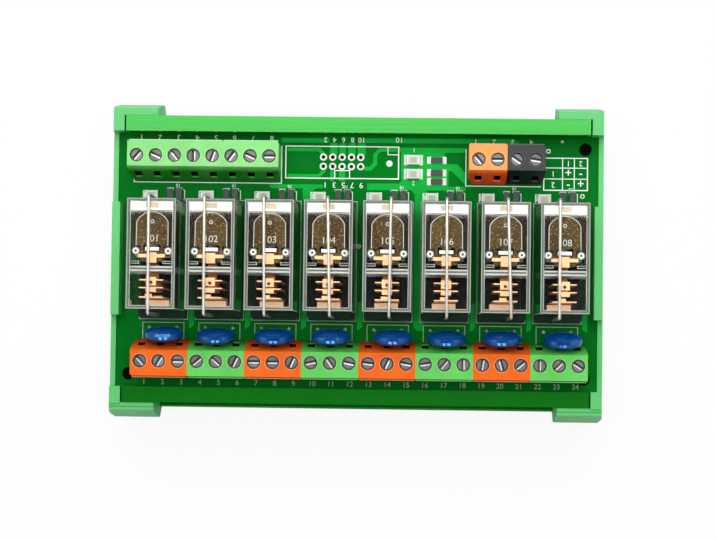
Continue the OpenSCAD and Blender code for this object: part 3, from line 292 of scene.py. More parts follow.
def block_plastic(name, colour, deep, far_side, rough, specular):
    """Terminal plastic with a painted shade: it turns deeper down the sloped back, standing for the shadow
    the relays cast there.
    """
    if far_side:
        m = two_tone(name, deep, colour, lambda nt: mask_above(nt, "Y", FAR_BACK * MM, 0.6 * MM), rough)
    else:
        m = two_tone(name, colour, deep, lambda nt: mask_above(nt, "Y", NEAR_BACK * MM, 1.4 * MM), rough)
    socket(m, "Specular IOR Level").default_value = specular
    return m


# the second colour of each block plastic is a painted shade for its sloped back
GREEN = block_plastic("terminal_green", (0.11, 0.62, 0.09), (0.010, 0.18, 0.010), False, 0.42, 0.2)
ORANGE = block_plastic("terminal_orange", (0.98, 0.155, 0.010), (0.42, 0.020, 0.002), False, 0.36, 0.06)
INPUT_GREEN = block_plastic("input_green", (0.19, 0.62, 0.16), (0.006, 0.19, 0.006), True, 0.36, 0.25)
SUPPLY_ORANGE = block_plastic("supply_orange", (0.97, 0.30, 0.05), (0.70, 0.050, 0.006), True,
                              0.36, 0.25)

# heights over the board at which one moulding or part changes its look
BASE_FLOOR, FLANGE_TOP, BAR_TOP, SLOT_FLOOR, LEAD_TOP, SPRING_TOP = 7.4, 24.3, 27.75, 8.75, 1.6, 26.2
# inner side of the bobbin's white bar, along Y from the middle of a relay
BAR_INNER = 11.2

BASE = two_tone("relay_base", (0.012, 0.012, 0.012), (0.44, 0.44, 0.41),
                over_board("Z", BASE_FLOOR), 0.38)
# below FLANGE_TOP and short of BAR_INNER the bobbin is painted dark brown, a painted shade for the dark round
# the armature
BOBBIN = two_tone("relay_bobbin", (0.035, 0.022, 0.014), (0.80, 0.77, 0.69),
                  lambda nt: either(nt, over_board("Z", FLANGE_TOP)(nt),
                                    over_board("Y", BAR_INNER)(nt)), 0.40)
tone_over(BOBBIN, over_board("Z", BAR_TOP), (0.42, 0.33, 0.20))
# below SLOT_FLOOR the screw is painted dark, a painted shade in its slot
SCREW = two_tone("screw_steel", (0.03, 0.03, 0.03), (0.105, 0.105, 0.100), over_board("Z", SLOT_FLOOR),
                 0.46, 0.35, 0.35, 900)
VARISTOR = two_tone("blue_coating", (0.50, 0.50, 0.48), (0.001, 0.064, 0.30), over_board("Z", LEAD_TOP),
                    0.10, 0.0, 0.10, 160, 0.000006)
socket(VARISTOR, "Specular Tint").default_value = (0.25, 0.6, 1.0, 1)
socket(VARISTOR, "Specular IOR Level").default_value = 0.8
CONTACT = two_tone("contact_copper", (0.45, 0.18, 0.07), (0.74, 0.42, 0.22), over_board("Z", SPRING_TOP),
                   0.32, 0.45, 0.10, 500)
COMMON = plastic("common_terminal", (0.74, 0.48, 0.29), 0.36, 500)


def armature_material():
    """Passivated iron with a coarse speckle."""
    m, nt, b = shader("armature_bronze")
    speck = noise(nt, place(nt), 1900, 2, 0.7)
    slow = noise(nt, place(nt), 130, 2)
    tone = ramp(nt, slow, [(0.3, (0.036, 0.018, 0.005)), (0.7, (0.066, 0.040, 0.011))])
    light = ramp(nt, speck, [(0.56, (0, 0, 0)), (0.66, (0.18, 0.13, 0.05))])
    add = nt.nodes.new("ShaderNodeMix")
    add.data_type, add.blend_type = "RGBA", "ADD"
    add.inputs["Factor"].default_value = 1.0
    nt.links.new(tone, add.inputs["A"])
    nt.links.new(light, add.inputs["B"])
    nt.links.new(add.outputs["Result"], b.inputs["Base Color"])
    nt.links.new(span(nt, speck, 0.38, 0.6), b.inputs["Roughness"])
    b.inputs["Metallic"].default_value = 0.5
    b.inputs["Specular IOR Level"].default_value = 0.2
    bump(nt, b, speck, 0.00002)
    return m


BRONZE = armature_material()
for m in (BASE, BOBBIN):
    socket(m, "Specular IOR Level").default_value = 0.05

LOOKS = {
    "carrier_profile": CARRIER, "end_foot_left": FOOT, "end_foot_right": FOOT,
    "circuit_board": LACQUER, "input_terminal_1": INPUT_GREEN, "input_terminal_2": INPUT_GREEN,
    "supply_terminal_1": SUPPLY_ORANGE, "supply_terminal_2": BLACK, "terminal_screws": SCREW,
    "wire_clamps": ZINC, "terminal_pins": TIN, "relay_sockets": SOCKET, "socket_contacts": TIN,
    "socket_clips": WIRE, "relay_bases": BASE, "relay_bobbins": BOBBIN, "relay_coils": WINDING,
    "relay_cores": IRON, "relay_yokes": IRON, "break_contacts": CONTACT, "make_contacts": CONTACT,
    "common_terminals": COMMON, "coil_pins": TIN, "varistors": VARISTOR,
    "indicator_lights": WHITE, "chip_resistors": CHIP, "chip_diodes": CHIP,
}
for k in RELAYS:
    LOOKS[f"output_terminal_{k}"] = ORANGE if k % 2 else GREEN
    LOOKS[f"relay_cover_{k}"] = CLEAR
    LOOKS[f"relay_armature_{k}"] = BRONZE
    LOOKS[f"moving_contact_{k}"] = CONTACT
for node, look in LOOKS.items():
    NODES[node].data.materials.clear()
    NODES[node].data.materials.append(look)

# small rounded edges that catch the light
EDGES = {"carrier_profile": 0.3, "end_foot_left": 0.25, "end_foot_right": 0.25, "input_terminal_1": 0.2,
         "input_terminal_2": 0.2, "supply_terminal_1": 0.2, "supply_terminal_2": 0.2}
EDGES.update({f"output_terminal_{k}": 0.2 for k in RELAYS})
for node, width in EDGES.items():
    b = NODES[node].modifiers.new("edges", "BEVEL")
    b.width = width * MM
    b.segments = 2
    b.limit_method = "ANGLE"
    b.angle_limit = math.radians(25)
    b.harden_normals = False

# ----------------------------------------------------------- mesh pieces


class Piece:
    """Closed solids gathered into one mesh. Sizes are in millimetres, in the row frame."""

    def __init__(self):
        self.verts, self.faces = [], []

    def extrude(self, ring, near, far):
        """A prism on a closed ring of points; near and far place a point at either end."""
        area = sum(a[0] * b[1] - b[0] * a[1] for a, b in zip(ring, ring[1:] + ring[:1]))
        if area < 0:
            ring = ring[::-1]
        n, at = len(ring), len(self.verts)
        self.verts += [near(*q) for q in ring] + [far(*q) for q in ring]
        self.faces.append(tuple(range(at + n - 1, at - 1, -1)))
        self.faces.append(tuple(range(at + n, at + 2 * n)))
        for i in range(n):
            j = (i + 1) % n
            self.faces.append((at + i, at + j, at + n + j, at + n + i))

    def prism(self, ring, z0, z1):
        """An upright prism on a closed ring of (x, y) points."""
        self.extrude(ring, lambda x, y: (x * MM, y * MM, z0 * MM),
                     lambda x, y: (x * MM, y * MM, z1 * MM))

    def box(self, x0, x1, y0, y1, z0, z1):
        self.prism([(x0, y0), (x1, y0), (x1, y1), (x0, y1)], z0, z1)

    def bar(self, x0, x1, ring):
        """A level prism from x0 to x1 on a closed ring of (y, z) points."""
        self.extrude(ring, lambda y, z: (x0 * MM, y * MM, z * MM),
                     lambda y, z: (x1 * MM, y * MM, z * MM))

    def line(self, points, width, z0, z1):
        """A flat strip along an open or closed line of points, mitred at its corners."""
        closed = points[0] == points[-1]
        pts = [Vector(p) for p in (points[:-1] if closed else points)]
        n = len(pts)
        left, right = [], []
        for i, p in enumerate(pts):
            before = (p - pts[i - 1]).normalized() if closed or i > 0 else None
            after = (pts[(i + 1) % n] - p).normalized() if closed or i < n - 1 else None
            d = ((before or after) + (after or before)).normalized()
            side = Vector((-d.y, d.x))
            along = before or after
            reach = width / 2 / max(0.3, side.dot(Vector((-along.y, along.x))))
            left.append(p + side * reach)
            right.append(p - side * reach)
        at = len(self.verts)
        for z in (z0, z1):
            for q in left + right:
                self.verts.append((q.x * MM, q.y * MM, z * MM))
        top, steps = at + 2 * n, n if closed else n - 1
        for i in range(steps):
            j = (i + 1) % n
            self.faces.append((top + i, top + n + i, top + n + j, top + j))
            self.faces.append((at + i, at + j, at + n + j, at + n + i))
            self.faces.append((at + i, top + i, top + j, at + j))
            self.faces.append((at + n + j, top + n + j, top + n + i, at + n + i))
        if not closed:
            self.faces.append((at, at + n, top + n, top))
            self.faces.append((at + n - 1, top + n - 1, top + 2 * n - 1, at + 2 * n - 1))

    def ring(self, x, y, outer, inner, z0, z1, n=24):
        """A flat ring, or a disc where inner is 0."""
        turn = [(math.cos(2 * math.pi * i / n), math.sin(2 * math.pi * i / n)) for i in range(n)]
        if not inner:
            self.prism([(x + outer * c, y + outer * s) for c, s in turn], z0, z1)
            return
        at = len(self.verts)
        for r, z in ((outer, z0), (outer, z1), (inner, z1), (inner, z0)):
            self.verts += [((x + r * c) * MM, (y + r * s) * MM, z * MM) for c, s in turn]
        for band in range(4):
            for i in range(n):
                j = (i + 1) % n
                a, b = at + band * n, at + (band + 1) % 4 * n
                self.faces.append((a + i, a + j, b + j, b + i))

    def text(self, words, x, y, size, z0, z1, turned=False):
        """Plain numbers or signs lying on a surface, their middle at x, y."""
        curve = bpy.data.curves.new("words", "FONT")
        curve.body = words
        curve.size = size * MM
        curve.align_x, curve.align_y = "CENTER", "CENTER"
        curve.extrude = (z1 - z0) / 2 * MM
        curve.resolution_u = 3
        o = bpy.data.objects.new("words", curve)
        bpy.context.scene.collection.objects.link(o)
        bpy.context.view_layer.update()
        graph = bpy.context.evaluated_depsgraph_get()
        made = bpy.data.meshes.new_from_object(o.evaluated_get(graph))
        at = len(self.verts)
        s = -1 if turned else 1
        lift = (z0 + z1) / 2 * MM
        self.verts += [(x * MM + s * v.co.x, y * MM + s * v.co.y, lift + v.co.z) for v in made.vertices]
        self.faces += [tuple(at + i for i in p.vertices) for p in made.polygons]
        bpy.data.objects.remove(o)
        bpy.data.curves.remove(curve)
        bpy.data.meshes.remove(made)

    def make(self, name, look, slot, body="root"):
        """Make the mesh, with its look, riding on a body."""
        mesh = bpy.data.meshes.new(name)
        mesh.from_pydata(self.verts, [], self.faces)
        mesh.validate()
        mesh.materials.append(look)
        o = bpy.data.objects.new(name, mesh)
        bpy.context.scene.collection.objects.link(o)
        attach(o, body)
        return o


# ------------------------------------------------------- the board's face

INK_Z = (BOARD_TOP - 0.01, BOARD_TOP + 0.06)
POUR_Z = (BOARD_TOP - 0.01, BOARD_TOP + 0.035)
PAD_Z = (BOARD_TOP - 0.01, BOARD_TOP + 0.05)
INK_W = 0.22
HEADER = (-9.44, 28.4, 2.54)
HEADER_PINS = [(HEADER[0] + i * HEADER[2], HEADER[1] - j * HEADER[2]) for i in range(5) for j in (0, 1)]
# vias: place and radius of the ring
VIAS = [(51.6, 30.6, 0.62), (60.9, 18.4, 0.62), (0.51, 4.14, 0.55)]


def outline(piece, x0, x1, y0, y1, width=INK_W):
    piece.line([(x0, y0), (x1, y0), (x1, y1), (x0, y1), (x0, y0)], width, *INK_Z)


def silkscreen():
    p = Piece()
    # terminal blocks on the far side
    p.line([(-61, 23.2), (-61, 21.1), (-20.8, 21.1), (-20.8, 31.4)], INK_W, *INK_Z)
    p.line([(29.3, 30.9), (29.3, 20.9), (49.7, 20.9)], INK_W, *INK_Z)
    # empty header and its key
    outline(p, -19.67, 11.01, 22.62, 31.31, 0.28)
    p.line([(8.1, 31.17), (8.1, 29.2), (10.87, 29.2)], INK_W, *INK_Z)
    p.line([(-6.3, 22.76), (-6.3, 24.75), (-2.28, 24.75), (-2.28, 22.76)], INK_W, *INK_Z)
    # table of signs
    outline(p, 50.43, 62.22, 20, 28.74, 0.28)
    for x in (55.49, 58.66):
        p.line([(x, 20.14), (x, 28.6)], INK_W, *INK_Z)
    for y in (23.08, 26.07):
        for x0, x1 in ((50.57, 55.38), (55.6, 58.55), (58.77, 62.08)):
            p.line([(x0, y), (x1, y)], INK_W, *INK_Z)
    # chip parts beside the relays
    for x in RELAY_X:
        p.line([(x - 6.1, 16.6), (x - 6.1, 18.7), (x - 5.6, 18.7)], 0.2, *INK_Z)
        p.line([(x + 5.2, 16.6), (x + 5.2, 18.9), (x + 4.9, 18.9)], 0.2, *INK_Z)
    return p.make("silkscreen_lines", INK, "white_lens")


def faint_silkscreen():
    """Outlines of the relays and the varistors, in ink painted dimmer as a painted shade for the parts'
    shadow they stand in.
    """
    p = Piece()
    for x in RELAY_X:
        outline(p, x - 6.55, x + 6.55, RELAY_Y - 16.4, RELAY_Y + 16.1, 0.18)
        outline(p, x - 5.6, x + 5.6, -23, -17.1, 0.18)
    return p.make("part_outlines", SHADE_DIM_INK, "white_lens")


def numbers():
    p = Piece()
    for i in range(8):
        p.text(str(i + 1), -59.13 + i * WAY, 33.35, 2.2, *INK_Z, turned=True)
    for i in range(5):
        x = HEADER[0] + 0.55 + i * 2.45
        p.text(str(2 * i + 2), x, 33.15, 2.0, *INK_Z, turned=True)
        p.text(str(2 * i + 1), x, 20.85, 2.2, *INK_Z, turned=True)
    p.text("10", 11.2, 33.3, 2.1, *INK_Z, turned=True)
    for i in range(4):
        p.text(str(i + 1), 31.9 + i * 5.02, 33.0, 2.0, *INK_Z, turned=True)
    p.text("1", 15.2, 30.5, 1.5, *INK_Z, turned=True)
    p.text("2", 15.1, 21.5, 1.5, *INK_Z, turned=True)
    for x, y, sign in ((57.05, 24.55, "+"), (60.4, 24.55, "-"),
                       (57.05, 21.55, "-"), (60.4, 21.55, "+")):
        p.text(sign, x, y + 0.15, 3.4, *INK_Z)
    for x, y, word in ((52.95, 24.5, "1"), (52.95, 21.5, "2"),
                       (57.05, 27.35, "1"), (60.4, 27.35, "2")):
        p.text(word, x, y, 2.1, *INK_Z, turned=True)
    for k, x in enumerate(RELAY_X):
        p.text("10", x + 3.4, 20.3, 1.2, *INK_Z, turned=True)
    return p.make("board_numbers", INK, "white_lens")


# the output numbers are in ink painted dimmer, a painted shade from the blocks and the wall
def output_numbers():
    p = Piece()
    for i in range(24):
        p.text(str(i + 1), 1 + (i - 11.5) * WAY, -33.3, 2.0, *INK_Z)
    return p.make("output_numbers", SHADE_DIM_INK, "white_lens")


def pours():
    """Copper areas and lines that show through the lacquer as a lighter green."""
    p = Piece()
    z = POUR_Z
    # lines along the top edge
    p.prism([(-21.0, 32.3), (-7.9, 32.3), (-7.9, 33.5), (-21.0, 33.5)], *z)
    p.prism([(0.4, 32.35), (42.6, 32.5), (44.0, 32.9), (41.6, 33.75), (0.4, 33.6)], *z)
    # lines from the header pads
    for x0, x1 in ((-7.65, -5.61), (-5.1, -3.4), (-2.71, -0.67), (-0.16, 2.05)):
        p.prism([(x0, 29.0), (x1, 29.0), (x1, 32.2), (x0, 32.2)], *z)
    p.prism([(-19.2, 29.95), (-10.9, 29.95), (-9.3, 28.6), (-8.7, 29.2), (-10.3, 30.85),
             (-19.2, 30.85)], *z)
    p.prism([(-19.2, 22.9), (-10.3, 22.9), (-8.7, 24.6), (-9.3, 25.2), (-10.9, 23.7), (-19.2, 23.7)], *z)
    p.line([(1.6, 25.35), (3.3, 25.35), (4.65, 26.7), (4.65, 29.2), (5.9, 30.5), (11.7, 30.6)], 1.05, *z)
    for x0, x1 in ((-7.55, -6.5), (-5.17, -3.47)):
        p.prism([(x0, 21.9), (x1, 21.9), (x1, 24.6), (x0, 24.6)], *z)
    # earth pour under the header and the two lights, and its arm between the relays
    p.prism([(-24.0, 20.9), (-24.0, 19.8), (-15.0, 19.8), (-14.9, 16.5), (-12.8, 16.5), (-12.8, 18.5),
             (-11.5, 19.8), (-9.5, 19.9), (-9.5, 20.9)], *z)
    p.prism([(2.5, 19.5), (14.4, 19.6), (15.5, 18.6), (15.6, -17.6), (16.6, -18.6), (18.2, -18.6),
             (18.2, 18.7), (19.1, 19.6), (29.3, 19.6), (29.3, 20.7), (24.6, 20.7), (24.6, 24.9),
             (25.5, 24.9), (28.9, 21.5), (29.3, 21.5),
             (29.3, 24.3), (27.0, 26.8), (23.5, 26.8), (23.5, 29.9), (29.4, 29.9), (29.4, 31.2), (11.7, 31.2),
             (11.7, 23.0), (12.0, 22.3), (11.2, 21.4), (2.5, 21.3)], *z)
    # arms between the relays at their contact end
    for x in RELAY_X[1:5] + RELAY_X[6:]:
        p.prism([(x - 8.3, -11), (x - 6.9, -11), (x - 6.9, -17.6), (x - 7.9, -18.6),
                 (x - 8.3, -18.6)], *z)
    p.prism([(RELAY_X[-1] + 6.8, -12), (RELAY_X[-1] + 8.2, -12), (RELAY_X[-1] + 8.2, -18.6),
             (RELAY_X[-1] + 6.8, -17.6)], *z)
    return p.make("copper_pours", POUR, "board_laminate")


def pads():
    p = Piece()
    for x, y in HEADER_PINS:
        p.ring(x, y, 0.98, 0.54, *PAD_Z)
    p.ring(8.51, 26.79, 0.85, 0, *PAD_Z)
    p.ring(55.35, 33.28, 0.4, 0, *PAD_Z)
    for x, y, r in VIAS:
        p.ring(x, y, r, 0.6 * r, *PAD_Z)
    # solder lands beside the chip parts
    for x in RELAY_X:
        p.box(x - 5.9, x - 5.45, 16.9, 18.4, *PAD_Z)
        p.box(x + 0.4, x + 2.2, 19.0, 19.6, *PAD_Z)
        p.box(x + 2.9, x + 4.7, 19.0, 19.6, *PAD_Z)
    for y in (27.8, 24.0):
        p.box(12.5, 13.6, y - 1.4, y + 1.4, *PAD_Z)
        p.box(16.4, 17.6, y - 1.4, y + 1.4, *PAD_Z)
    for y in (27.8, 24.4, 22.0):
        p.box(18.8, 20.1, y - 0.95, y + 0.95, *PAD_Z)
        p.box(22.7, 24.0, y - 0.95, y + 0.95, *PAD_Z)
    return p.make("solder_pads", TIN, "tinned_brass")


def light_lenses():
    """The darker lens in the middle of each light."""
    p = Piece()
    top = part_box("indicator_lights")[1].z / MM
    for x, y in [(x - 3.7, 17.5) for x in RELAY_X] + [(15.0, 24.0), (15.0, 27.8)]:
        p.box(x - 0.92, x + 0.92, y - 0.95, y + 0.75, top - 0.06, top - 0.02)
        p.box(x - 1.28, x - 1.14, y - 1.28, y + 1.28, top - 0.02, top + 0.01)
        p.box(x + 1.14, x + 1.28, y - 1.28, y + 1.28, top - 0.02, top + 0.01)
    return p.make("light_lenses", LENS, "white_lens")


silkscreen()
faint_silkscreen()
light_lenses()
numbers()
output_numbers()
pours()
pads()

# ------------------------------------------------- terminal block details

# shape of a block in its own frame: wire side towards -Y, origin on the screw line
BLOCK_FRONT, BLOCK_LIP, LIP_TOP, BLOCK_TOP = 3.95, 0.5, 7.8, 10.2
FOOT_BACK, FOOT_TOP, BACK_LEAN = 5.9, 2.2, 0.375
WINDOW_HALF, WINDOW_Z = 0.93, (3.72, 6.88)
HEAD_TOP, SLOT_DEPTH = 9.4, 0.9
BLOCKS = {f"output_terminal_{k}": 1 for k in RELAYS}
BLOCKS.update({f"{n}_terminal_{i}": -1 for n in ("input", "supply") for i in (1, 2)})


# a block's material name, and the colour of the painted highlights on its lips and the painted shade at its
# steps
TONES = {"terminal_green": "green", "input_green": "green",
         "terminal_orange": "orange", "supply_orange": "orange"}


def ways(node):
    """The screw places (x, y) of a block and the way it faces."""
    lo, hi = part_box(node)
    face = BLOCKS[node]
    y = lo.y / MM + BLOCK_FRONT + BLOCK_LIP if face > 0 else hi.y / MM - BLOCK_FRONT - BLOCK_LIP
    n = round((hi.x - lo.x) / MM / WAY)
    return [((lo.x / MM) + WAY * (i + 0.5), y) for i in range(n)], face


def slot_turn(x, y):
    """The angle a screw's slot was left at, from the corners of the slot's floor."""
    o = NODES["terminal_screws"]
    level = BOARD_TOP + HEAD_TOP - SLOT_DEPTH
    near = [v for v in (o.matrix_world @ q.co / MM for q in o.data.vertices)
            if abs(v.z - level) < 0.03 and math.hypot(v.x - x, v.y - y) < 1.8]
    xx = sum((v.x - x) ** 2 for v in near)
    yy = sum((v.y - y) ** 2 for v in near)
    xy = sum((v.x - x) * (v.y - y) for v in near)
    return 0.5 * math.atan2(2 * xy, xx - yy)


def window_shades():
    """Painted shade: dark plates just inside the test windows in the sloped backs."""
    p = Piece()
    for node in BLOCKS:
        places, f = ways(node)
        for x, y in places:
            ring = []
            for inset, z in ((0.35, WINDOW_Z[0]), (0.35, WINDOW_Z[1]),
                             (0.7, WINDOW_Z[1]), (0.7, WINDOW_Z[0])):
                back = FOOT_BACK - (z - FOOT_TOP) * BACK_LEAN - inset
                ring.append((y + f * back, BOARD_TOP + z))
            p.bar(x - WINDOW_HALF, x + WINDOW_HALF, ring)
    return p.make("window_shades", PAINTED_DARK, "black_plastic")


def painted_slot_highlights():
    """A painted highlight on the side of each screw slot that faces the lamp."""
    p = Piece()
    z = BOARD_TOP + HEAD_TOP - SLOT_DEPTH
    for node in BLOCKS:
        for x, y in ways(node)[0]:
            a = slot_turn(x, y)
            u, v = Vector((math.cos(a), math.sin(a))), Vector((-math.sin(a), math.cos(a)))
            if v.y > 0.2 or (abs(v.y) <= 0.2 and v.x < 0):
                v = -v
            ring = [Vector((x, y)) + u * i + v * j
                    for i, j in ((-1.5, 0.08), (1.5, 0.08), (1.45, 0.42), (-1.45, 0.42))]
            p.prism([tuple(q) for q in ring], z - 0.02, z + 0.12)
    return p.make("painted_slot_highlights", SLOT_HIGHLIGHT, "screw_steel")


def block_painted_lights():
    """Painted highlights along the lip in front of each block and round its screw wells, a painted shade line
    at the foot of its step, and a painted shade ring round each screw head.
    """
    sets = {"green": (LIP_HIGHLIGHT_GREEN, Piece(), STEP_SHADE_GREEN, Piece()),
            "orange": (LIP_HIGHLIGHT_ORANGE, Piece(), STEP_SHADE_ORANGE, Piece()),
            "black": (LIP_HIGHLIGHT_BLACK, Piece(), PAINTED_DARK, Piece())}
    rims = Piece()
    for node in BLOCKS:
        places, f = ways(node)
        x0, x1, y = places[0][0] - 2.3, places[-1][0] + 2.3, places[0][1]
        z = BOARD_TOP + LIP_TOP
        tone = TONES.get(LOOKS[node].name, "black")
        rows = [sorted((y - f * a, y - f * b)) for a, b in ((4.2, 4.44), (3.97, 4.19))]
        sets[tone][1].box(x0, x1, *rows[0], z - 0.01, z + 0.02)
        sets[tone][3].box(x0, x1, *rows[1], z - 0.01, z + 0.02)
        for x, yy in places:
            for piece, outer, inner, level in ((sets[tone][1], 2.0, 1.87, BOARD_TOP + BLOCK_TOP),
                                               (rims, 1.64, 1.42, BOARD_TOP + HEAD_TOP)):
                piece.ring(x, yy, outer, inner, level - 0.01, level + 0.02, 32)
    for tone, (look, p, deep, q) in sets.items():
        p.make(f"block_painted_lights_{tone}", look, f"{tone}_plastic")
        q.make(f"block_step_shades_{tone}", deep, f"{tone}_plastic")
    rims.make("screw_rims", RIM_SHADE, "screw_steel")


# painted shade: dark discs under the board's mounting holes
def hole_shades():
    p = Piece()
    for sx in (-1, 1):
        for sy in (-1, 1):
            x = sx * (BOARD_HI.x / MM - 3.45)
            y = sy * (BOARD_HI.y / MM - 4.9)
            p.ring(x, y, 1.7, 0, BOARD_TOP - 1.5, BOARD_TOP - 1.45)
    return p.make("hole_shades", PAINTED_DARK, "black_plastic")


window_shades()
painted_slot_highlights()
block_painted_lights()
hole_shades()

# --------------------------------------------- marks and painted light on the moving plates and the covers


def armature_highlight_and_marks(k):
    """A painted highlight along an armature's rim, and its dimple and number; they move with it."""
    x, y = RELAY_X[k - 1], RELAY_Y
    lo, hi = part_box(f"relay_armature_{k}")
    top, tip = hi.z / MM, hi.y / MM
    z = (top - 0.02, top + 0.08)
    half, rise, foot, line = 4.25, 2.9, tip - 8.9, 0.2
    r = (half ** 2 + rise ** 2) / (2 * rise)
    cy = tip - r
    arc = math.asin(half / r)
    p = Piece()
    inner = r - line / 2
    rim = [(x - half + line / 2, foot)]
    rim += [(x + inner * math.sin(a), cy + inner * math.cos(a))
            for a in (arc * 0.96 * (i / 12 - 1) for i in range(25))]
    rim += [(x + half - line / 2, foot)]
    p.line(rim, line, *z)
    p.ring(x, tip - 2.6, 0.52, 0.28, *z)
    p.text(f"10{k}", x, tip - 7.05, 2.5, *z)
    return p.make(f"armature_highlight_and_marks_{k}", EDGE, "white_lens", f"armature_{k}")


def cover_frame(piece, k, inset, width, z0, z1):
    """A closed strip around a cover, inset from its outer faces."""
    x, y = RELAY_X[k - 1], RELAY_Y
    w, l = CASE_HALF_W, CASE_HALF_L
    piece.line([(x - w + inset, y - l + inset), (x + w - inset, y - l + inset),
                (x + w - inset, y + l - inset), (x - w + inset, y + l - inset),
                (x - w + inset, y - l + inset)], width, z0, z1)


def cover_edge_highlights(k):
    """Painted highlights for the light that a clear cover's polished edges catch: thin lines in its chamfers,
    under its ceiling and down its corners; and a painted grey for the light and shade in its walls between
    them."""
    x, y, top = RELAY_X[k - 1], RELAY_Y, CASE_TOP
    w, l, wall, t = CASE_HALF_W, CASE_HALF_L, COVER_WALL, 0.2
    p = Piece()
    cover_frame(p, k, 0.22, t, top - 0.40, top - 0.10)
    cover_frame(p, k, wall + t / 2 + 0.02, 0.16, top - wall - 0.22, top - wall - 0.04)
    for sx in (-1, 1):
        for sy in (-1, 1):
            cx, cy, c = x + sx * (w - 0.27), y + sy * (l - 0.27), 0.11
            p.box(cx - c, cx + c, cy - c, cy + c, BOARD_TOP + 5.3, top - 0.6)
    p.make(f"cover_edge_highlights_{k}", EDGE, "clear_plastic")
    p = Piece()
    cover_frame(p, k, 0.57, 0.36, top - 0.40, top - 0.34)
    p.make(f"cover_wall_shading_{k}", WALL_SHADING, "clear_plastic")


def relay_shades(k):
    """Painted shade in the groove along the wall, in the dimples in the posts and round the posts' tops, and
    painted highlights on the cover's ribs.
    """
    x, y = RELAY_X[k - 1], RELAY_Y
    ceiling = CASE_TOP - COVER_WALL
    p = Piece()
    w = CASE_HALF_W - 1.1
    p.box(x - w, x + w, y - 4.12, y - 3.68, ceiling - 0.98, ceiling - 0.6)
    for sx in (-1, 1):
        p.ring(x + sx * POST_X, y + POST_Y, 0.37, 0, ceiling - 2.28, ceiling - 1.9)
        p.ring(x + sx * POST_X, y + POST_Y, 0.98, 0.76, ceiling - 1.71, ceiling - 1.68)
    p.make(f"relay_shades_{k}", SHADE, "black_plastic")
    p = Piece()
    z = (ceiling - 0.12, ceiling - 0.04)
    for sx in (-1, 1):
        x0, x1 = x + sx * (CASE_HALF_W - 1.2), x + sx * 3.1
        p.line([(x0, y - 2.0), (x1, y - 2.0), (x1, y - 2.6), (x0, y - 2.6)], 0.13, *z)
    p.make(f"cover_rib_highlights_{k}", RIB_HIGHLIGHT, "clear_plastic")


for k in RELAYS:
    armature_highlight_and_marks(k)
    cover_edge_highlights(k)
    relay_shades(k)

# -------------------------------------------------- camera, light, floor

CAMERA_AT = Vector((15.9, -25.5, 586.3)) * MM
CAMERA_TURN = (0.0415, 0.027, 0.013)
FRAME_W = 716
FOCAL_PX = 2083

cam_data = bpy.data.cameras.new("camera")
cam_data.sensor_fit = "HORIZONTAL"
cam_data.sensor_width = 36
cam_data.lens = 36 * FOCAL_PX / FRAME_W
cam_data.clip_start = 0.01
cam = bpy.data.objects.new("camera", cam_data)
cam.location = CAMERA_AT
cam.rotation_euler = Euler(CAMERA_TURN, "XYZ")
bpy.context.scene.collection.objects.link(cam)
bpy.context.scene.camera = cam
bpy.context.scene.view_settings.view_transform = "Standard"


def softbox(name, at, size, target, watts):
    light = bpy.data.lights.new(name, "AREA")
    light.shape = "RECTANGLE"
    light.size, light.size_y = size
    light.energy = watts
    o = bpy.data.objects.new(name, light)
    o.location = at
    o.rotation_euler = (Vector(target) - Vector(at)).to_track_quat("-Z", "Y").to_euler()
    bpy.context.scene.collection.objects.link(o)
    return o


softbox("key", (0.0, 0.80, 1.05), (1.7, 0.9), (0, 0.1, 0), 15)
softbox("top", (0.0, 0.0, 1.2), (1.0, 0.5), (0, 0, 0), 6).visible_glossy = False
softbox("left", (-0.9, -0.1, 0.75), (0.5, 0.8), (0, 0, 0.02), 1.4)
softbox("right", (0.95, -0.15, 0.7), (0.5, 0.8), (0, 0, 0.02), 1.1)


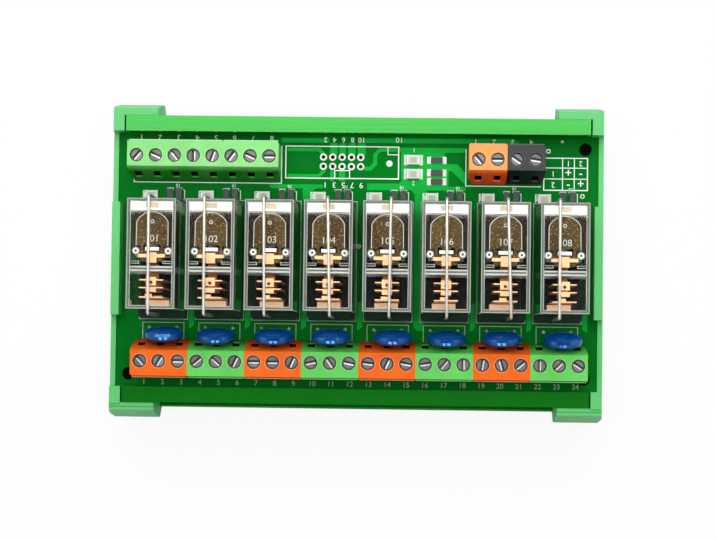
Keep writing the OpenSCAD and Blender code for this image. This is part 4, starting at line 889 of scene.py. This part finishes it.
def studio():
    """Pale floor that keeps a soft shadow, and a white world."""
    scene = bpy.context.scene
    world = bpy.data.worlds.new("studio")
    scene.world = world
    world.use_nodes = True
    nt = world.node_tree
    nt.nodes.clear()
    out = nt.nodes.new("ShaderNodeOutputWorld")
    soft = nt.nodes.new("ShaderNodeBackground")
    soft.inputs["Strength"].default_value = 0.07
    white = nt.nodes.new("ShaderNodeBackground")
    white.inputs["Color"].default_value = (1, 1, 1, 1)
    white.inputs["Strength"].default_value = 1.0
    path = nt.nodes.new("ShaderNodeLightPath")
    seen = either(nt, path.outputs["Is Camera Ray"], path.outputs["Is Glossy Ray"])
    seen = either(nt, seen, path.outputs["Is Transmission Ray"])
    mix = nt.nodes.new("ShaderNodeMixShader")
    nt.links.new(seen, mix.inputs["Fac"])
    nt.links.new(soft.outputs[0], mix.inputs[1])
    nt.links.new(white.outputs[0], mix.inputs[2])
    nt.links.new(mix.outputs[0], out.inputs[0])

    half = 3.0
    mesh = bpy.data.meshes.new("floor")
    corners = [(-half, -half, 0), (half, -half, 0), (half, half, 0), (-half, half, 0)]
    mesh.from_pydata(corners, [], [(0, 1, 2, 3)])
    m, nt, b = shader("floor_white")
    b.inputs["Base Color"].default_value = (0.95, 0.95, 0.95, 1)
    b.inputs["Roughness"].default_value = 0.9
    path = nt.nodes.new("ShaderNodeLightPath")
    glow = nt.nodes.new("ShaderNodeEmission")
    glow.inputs["Strength"].default_value = 1.0
    share = nt.nodes.new("ShaderNodeMath")
    share.operation = "MULTIPLY"
    share.inputs[1].default_value = 0.9
    nt.links.new(path.outputs["Is Camera Ray"], share.inputs[0])
    mix = nt.nodes.new("ShaderNodeMixShader")
    nt.links.new(share.outputs[0], mix.inputs["Fac"])
    nt.links.new(b.outputs[0], mix.inputs[1])
    nt.links.new(glow.outputs[0], mix.inputs[2])
    nt.links.new(mix.outputs[0], next(n for n in nt.nodes if n.type == "OUTPUT_MATERIAL").inputs[0])
    mesh.materials.append(m)
    floor = bpy.data.objects.new("floor", mesh)
    floor.location.z = -0.0002
    scene.collection.objects.link(floor)


def card(name, x0, x1, y0, y1, z, glow):
    """A flat card over the camera that only reflections see: dark, or bright where glow is set."""
    mesh = bpy.data.meshes.new(name)
    mesh.from_pydata([(x0, y0, z), (x1, y0, z), (x1, y1, z), (x0, y1, z)], [], [(0, 3, 2, 1)])
    m, nt, b = shader(name)
    b.inputs["Base Color"].default_value = (0.02, 0.02, 0.02, 1)
    b.inputs["Roughness"].default_value = 1.0
    b.inputs["Specular IOR Level"].default_value = 0.0
    b.inputs["Emission Color"].default_value = (1, 1, 1, 1)
    b.inputs["Emission Strength"].default_value = glow
    mesh.materials.append(m)
    o = bpy.data.objects.new(name, mesh)
    o.visible_camera = False
    o.visible_diffuse = False
    o.visible_shadow = False
    o.visible_transmission = not glow
    bpy.context.scene.collection.objects.link(o)


card("ceiling", -0.9, 0.9, -0.9, 0.075, 1.0, 0.0)
card("sheen", -0.9, 0.9, 0.11, 0.42, 1.0, 8.0)
card("pane_left", -0.50, -0.12, -1.15, -0.65, 0.80, 12.0)
card("pane_right", 0.08, 0.46, -1.15, -0.65, 0.80, 12.0)
studio()
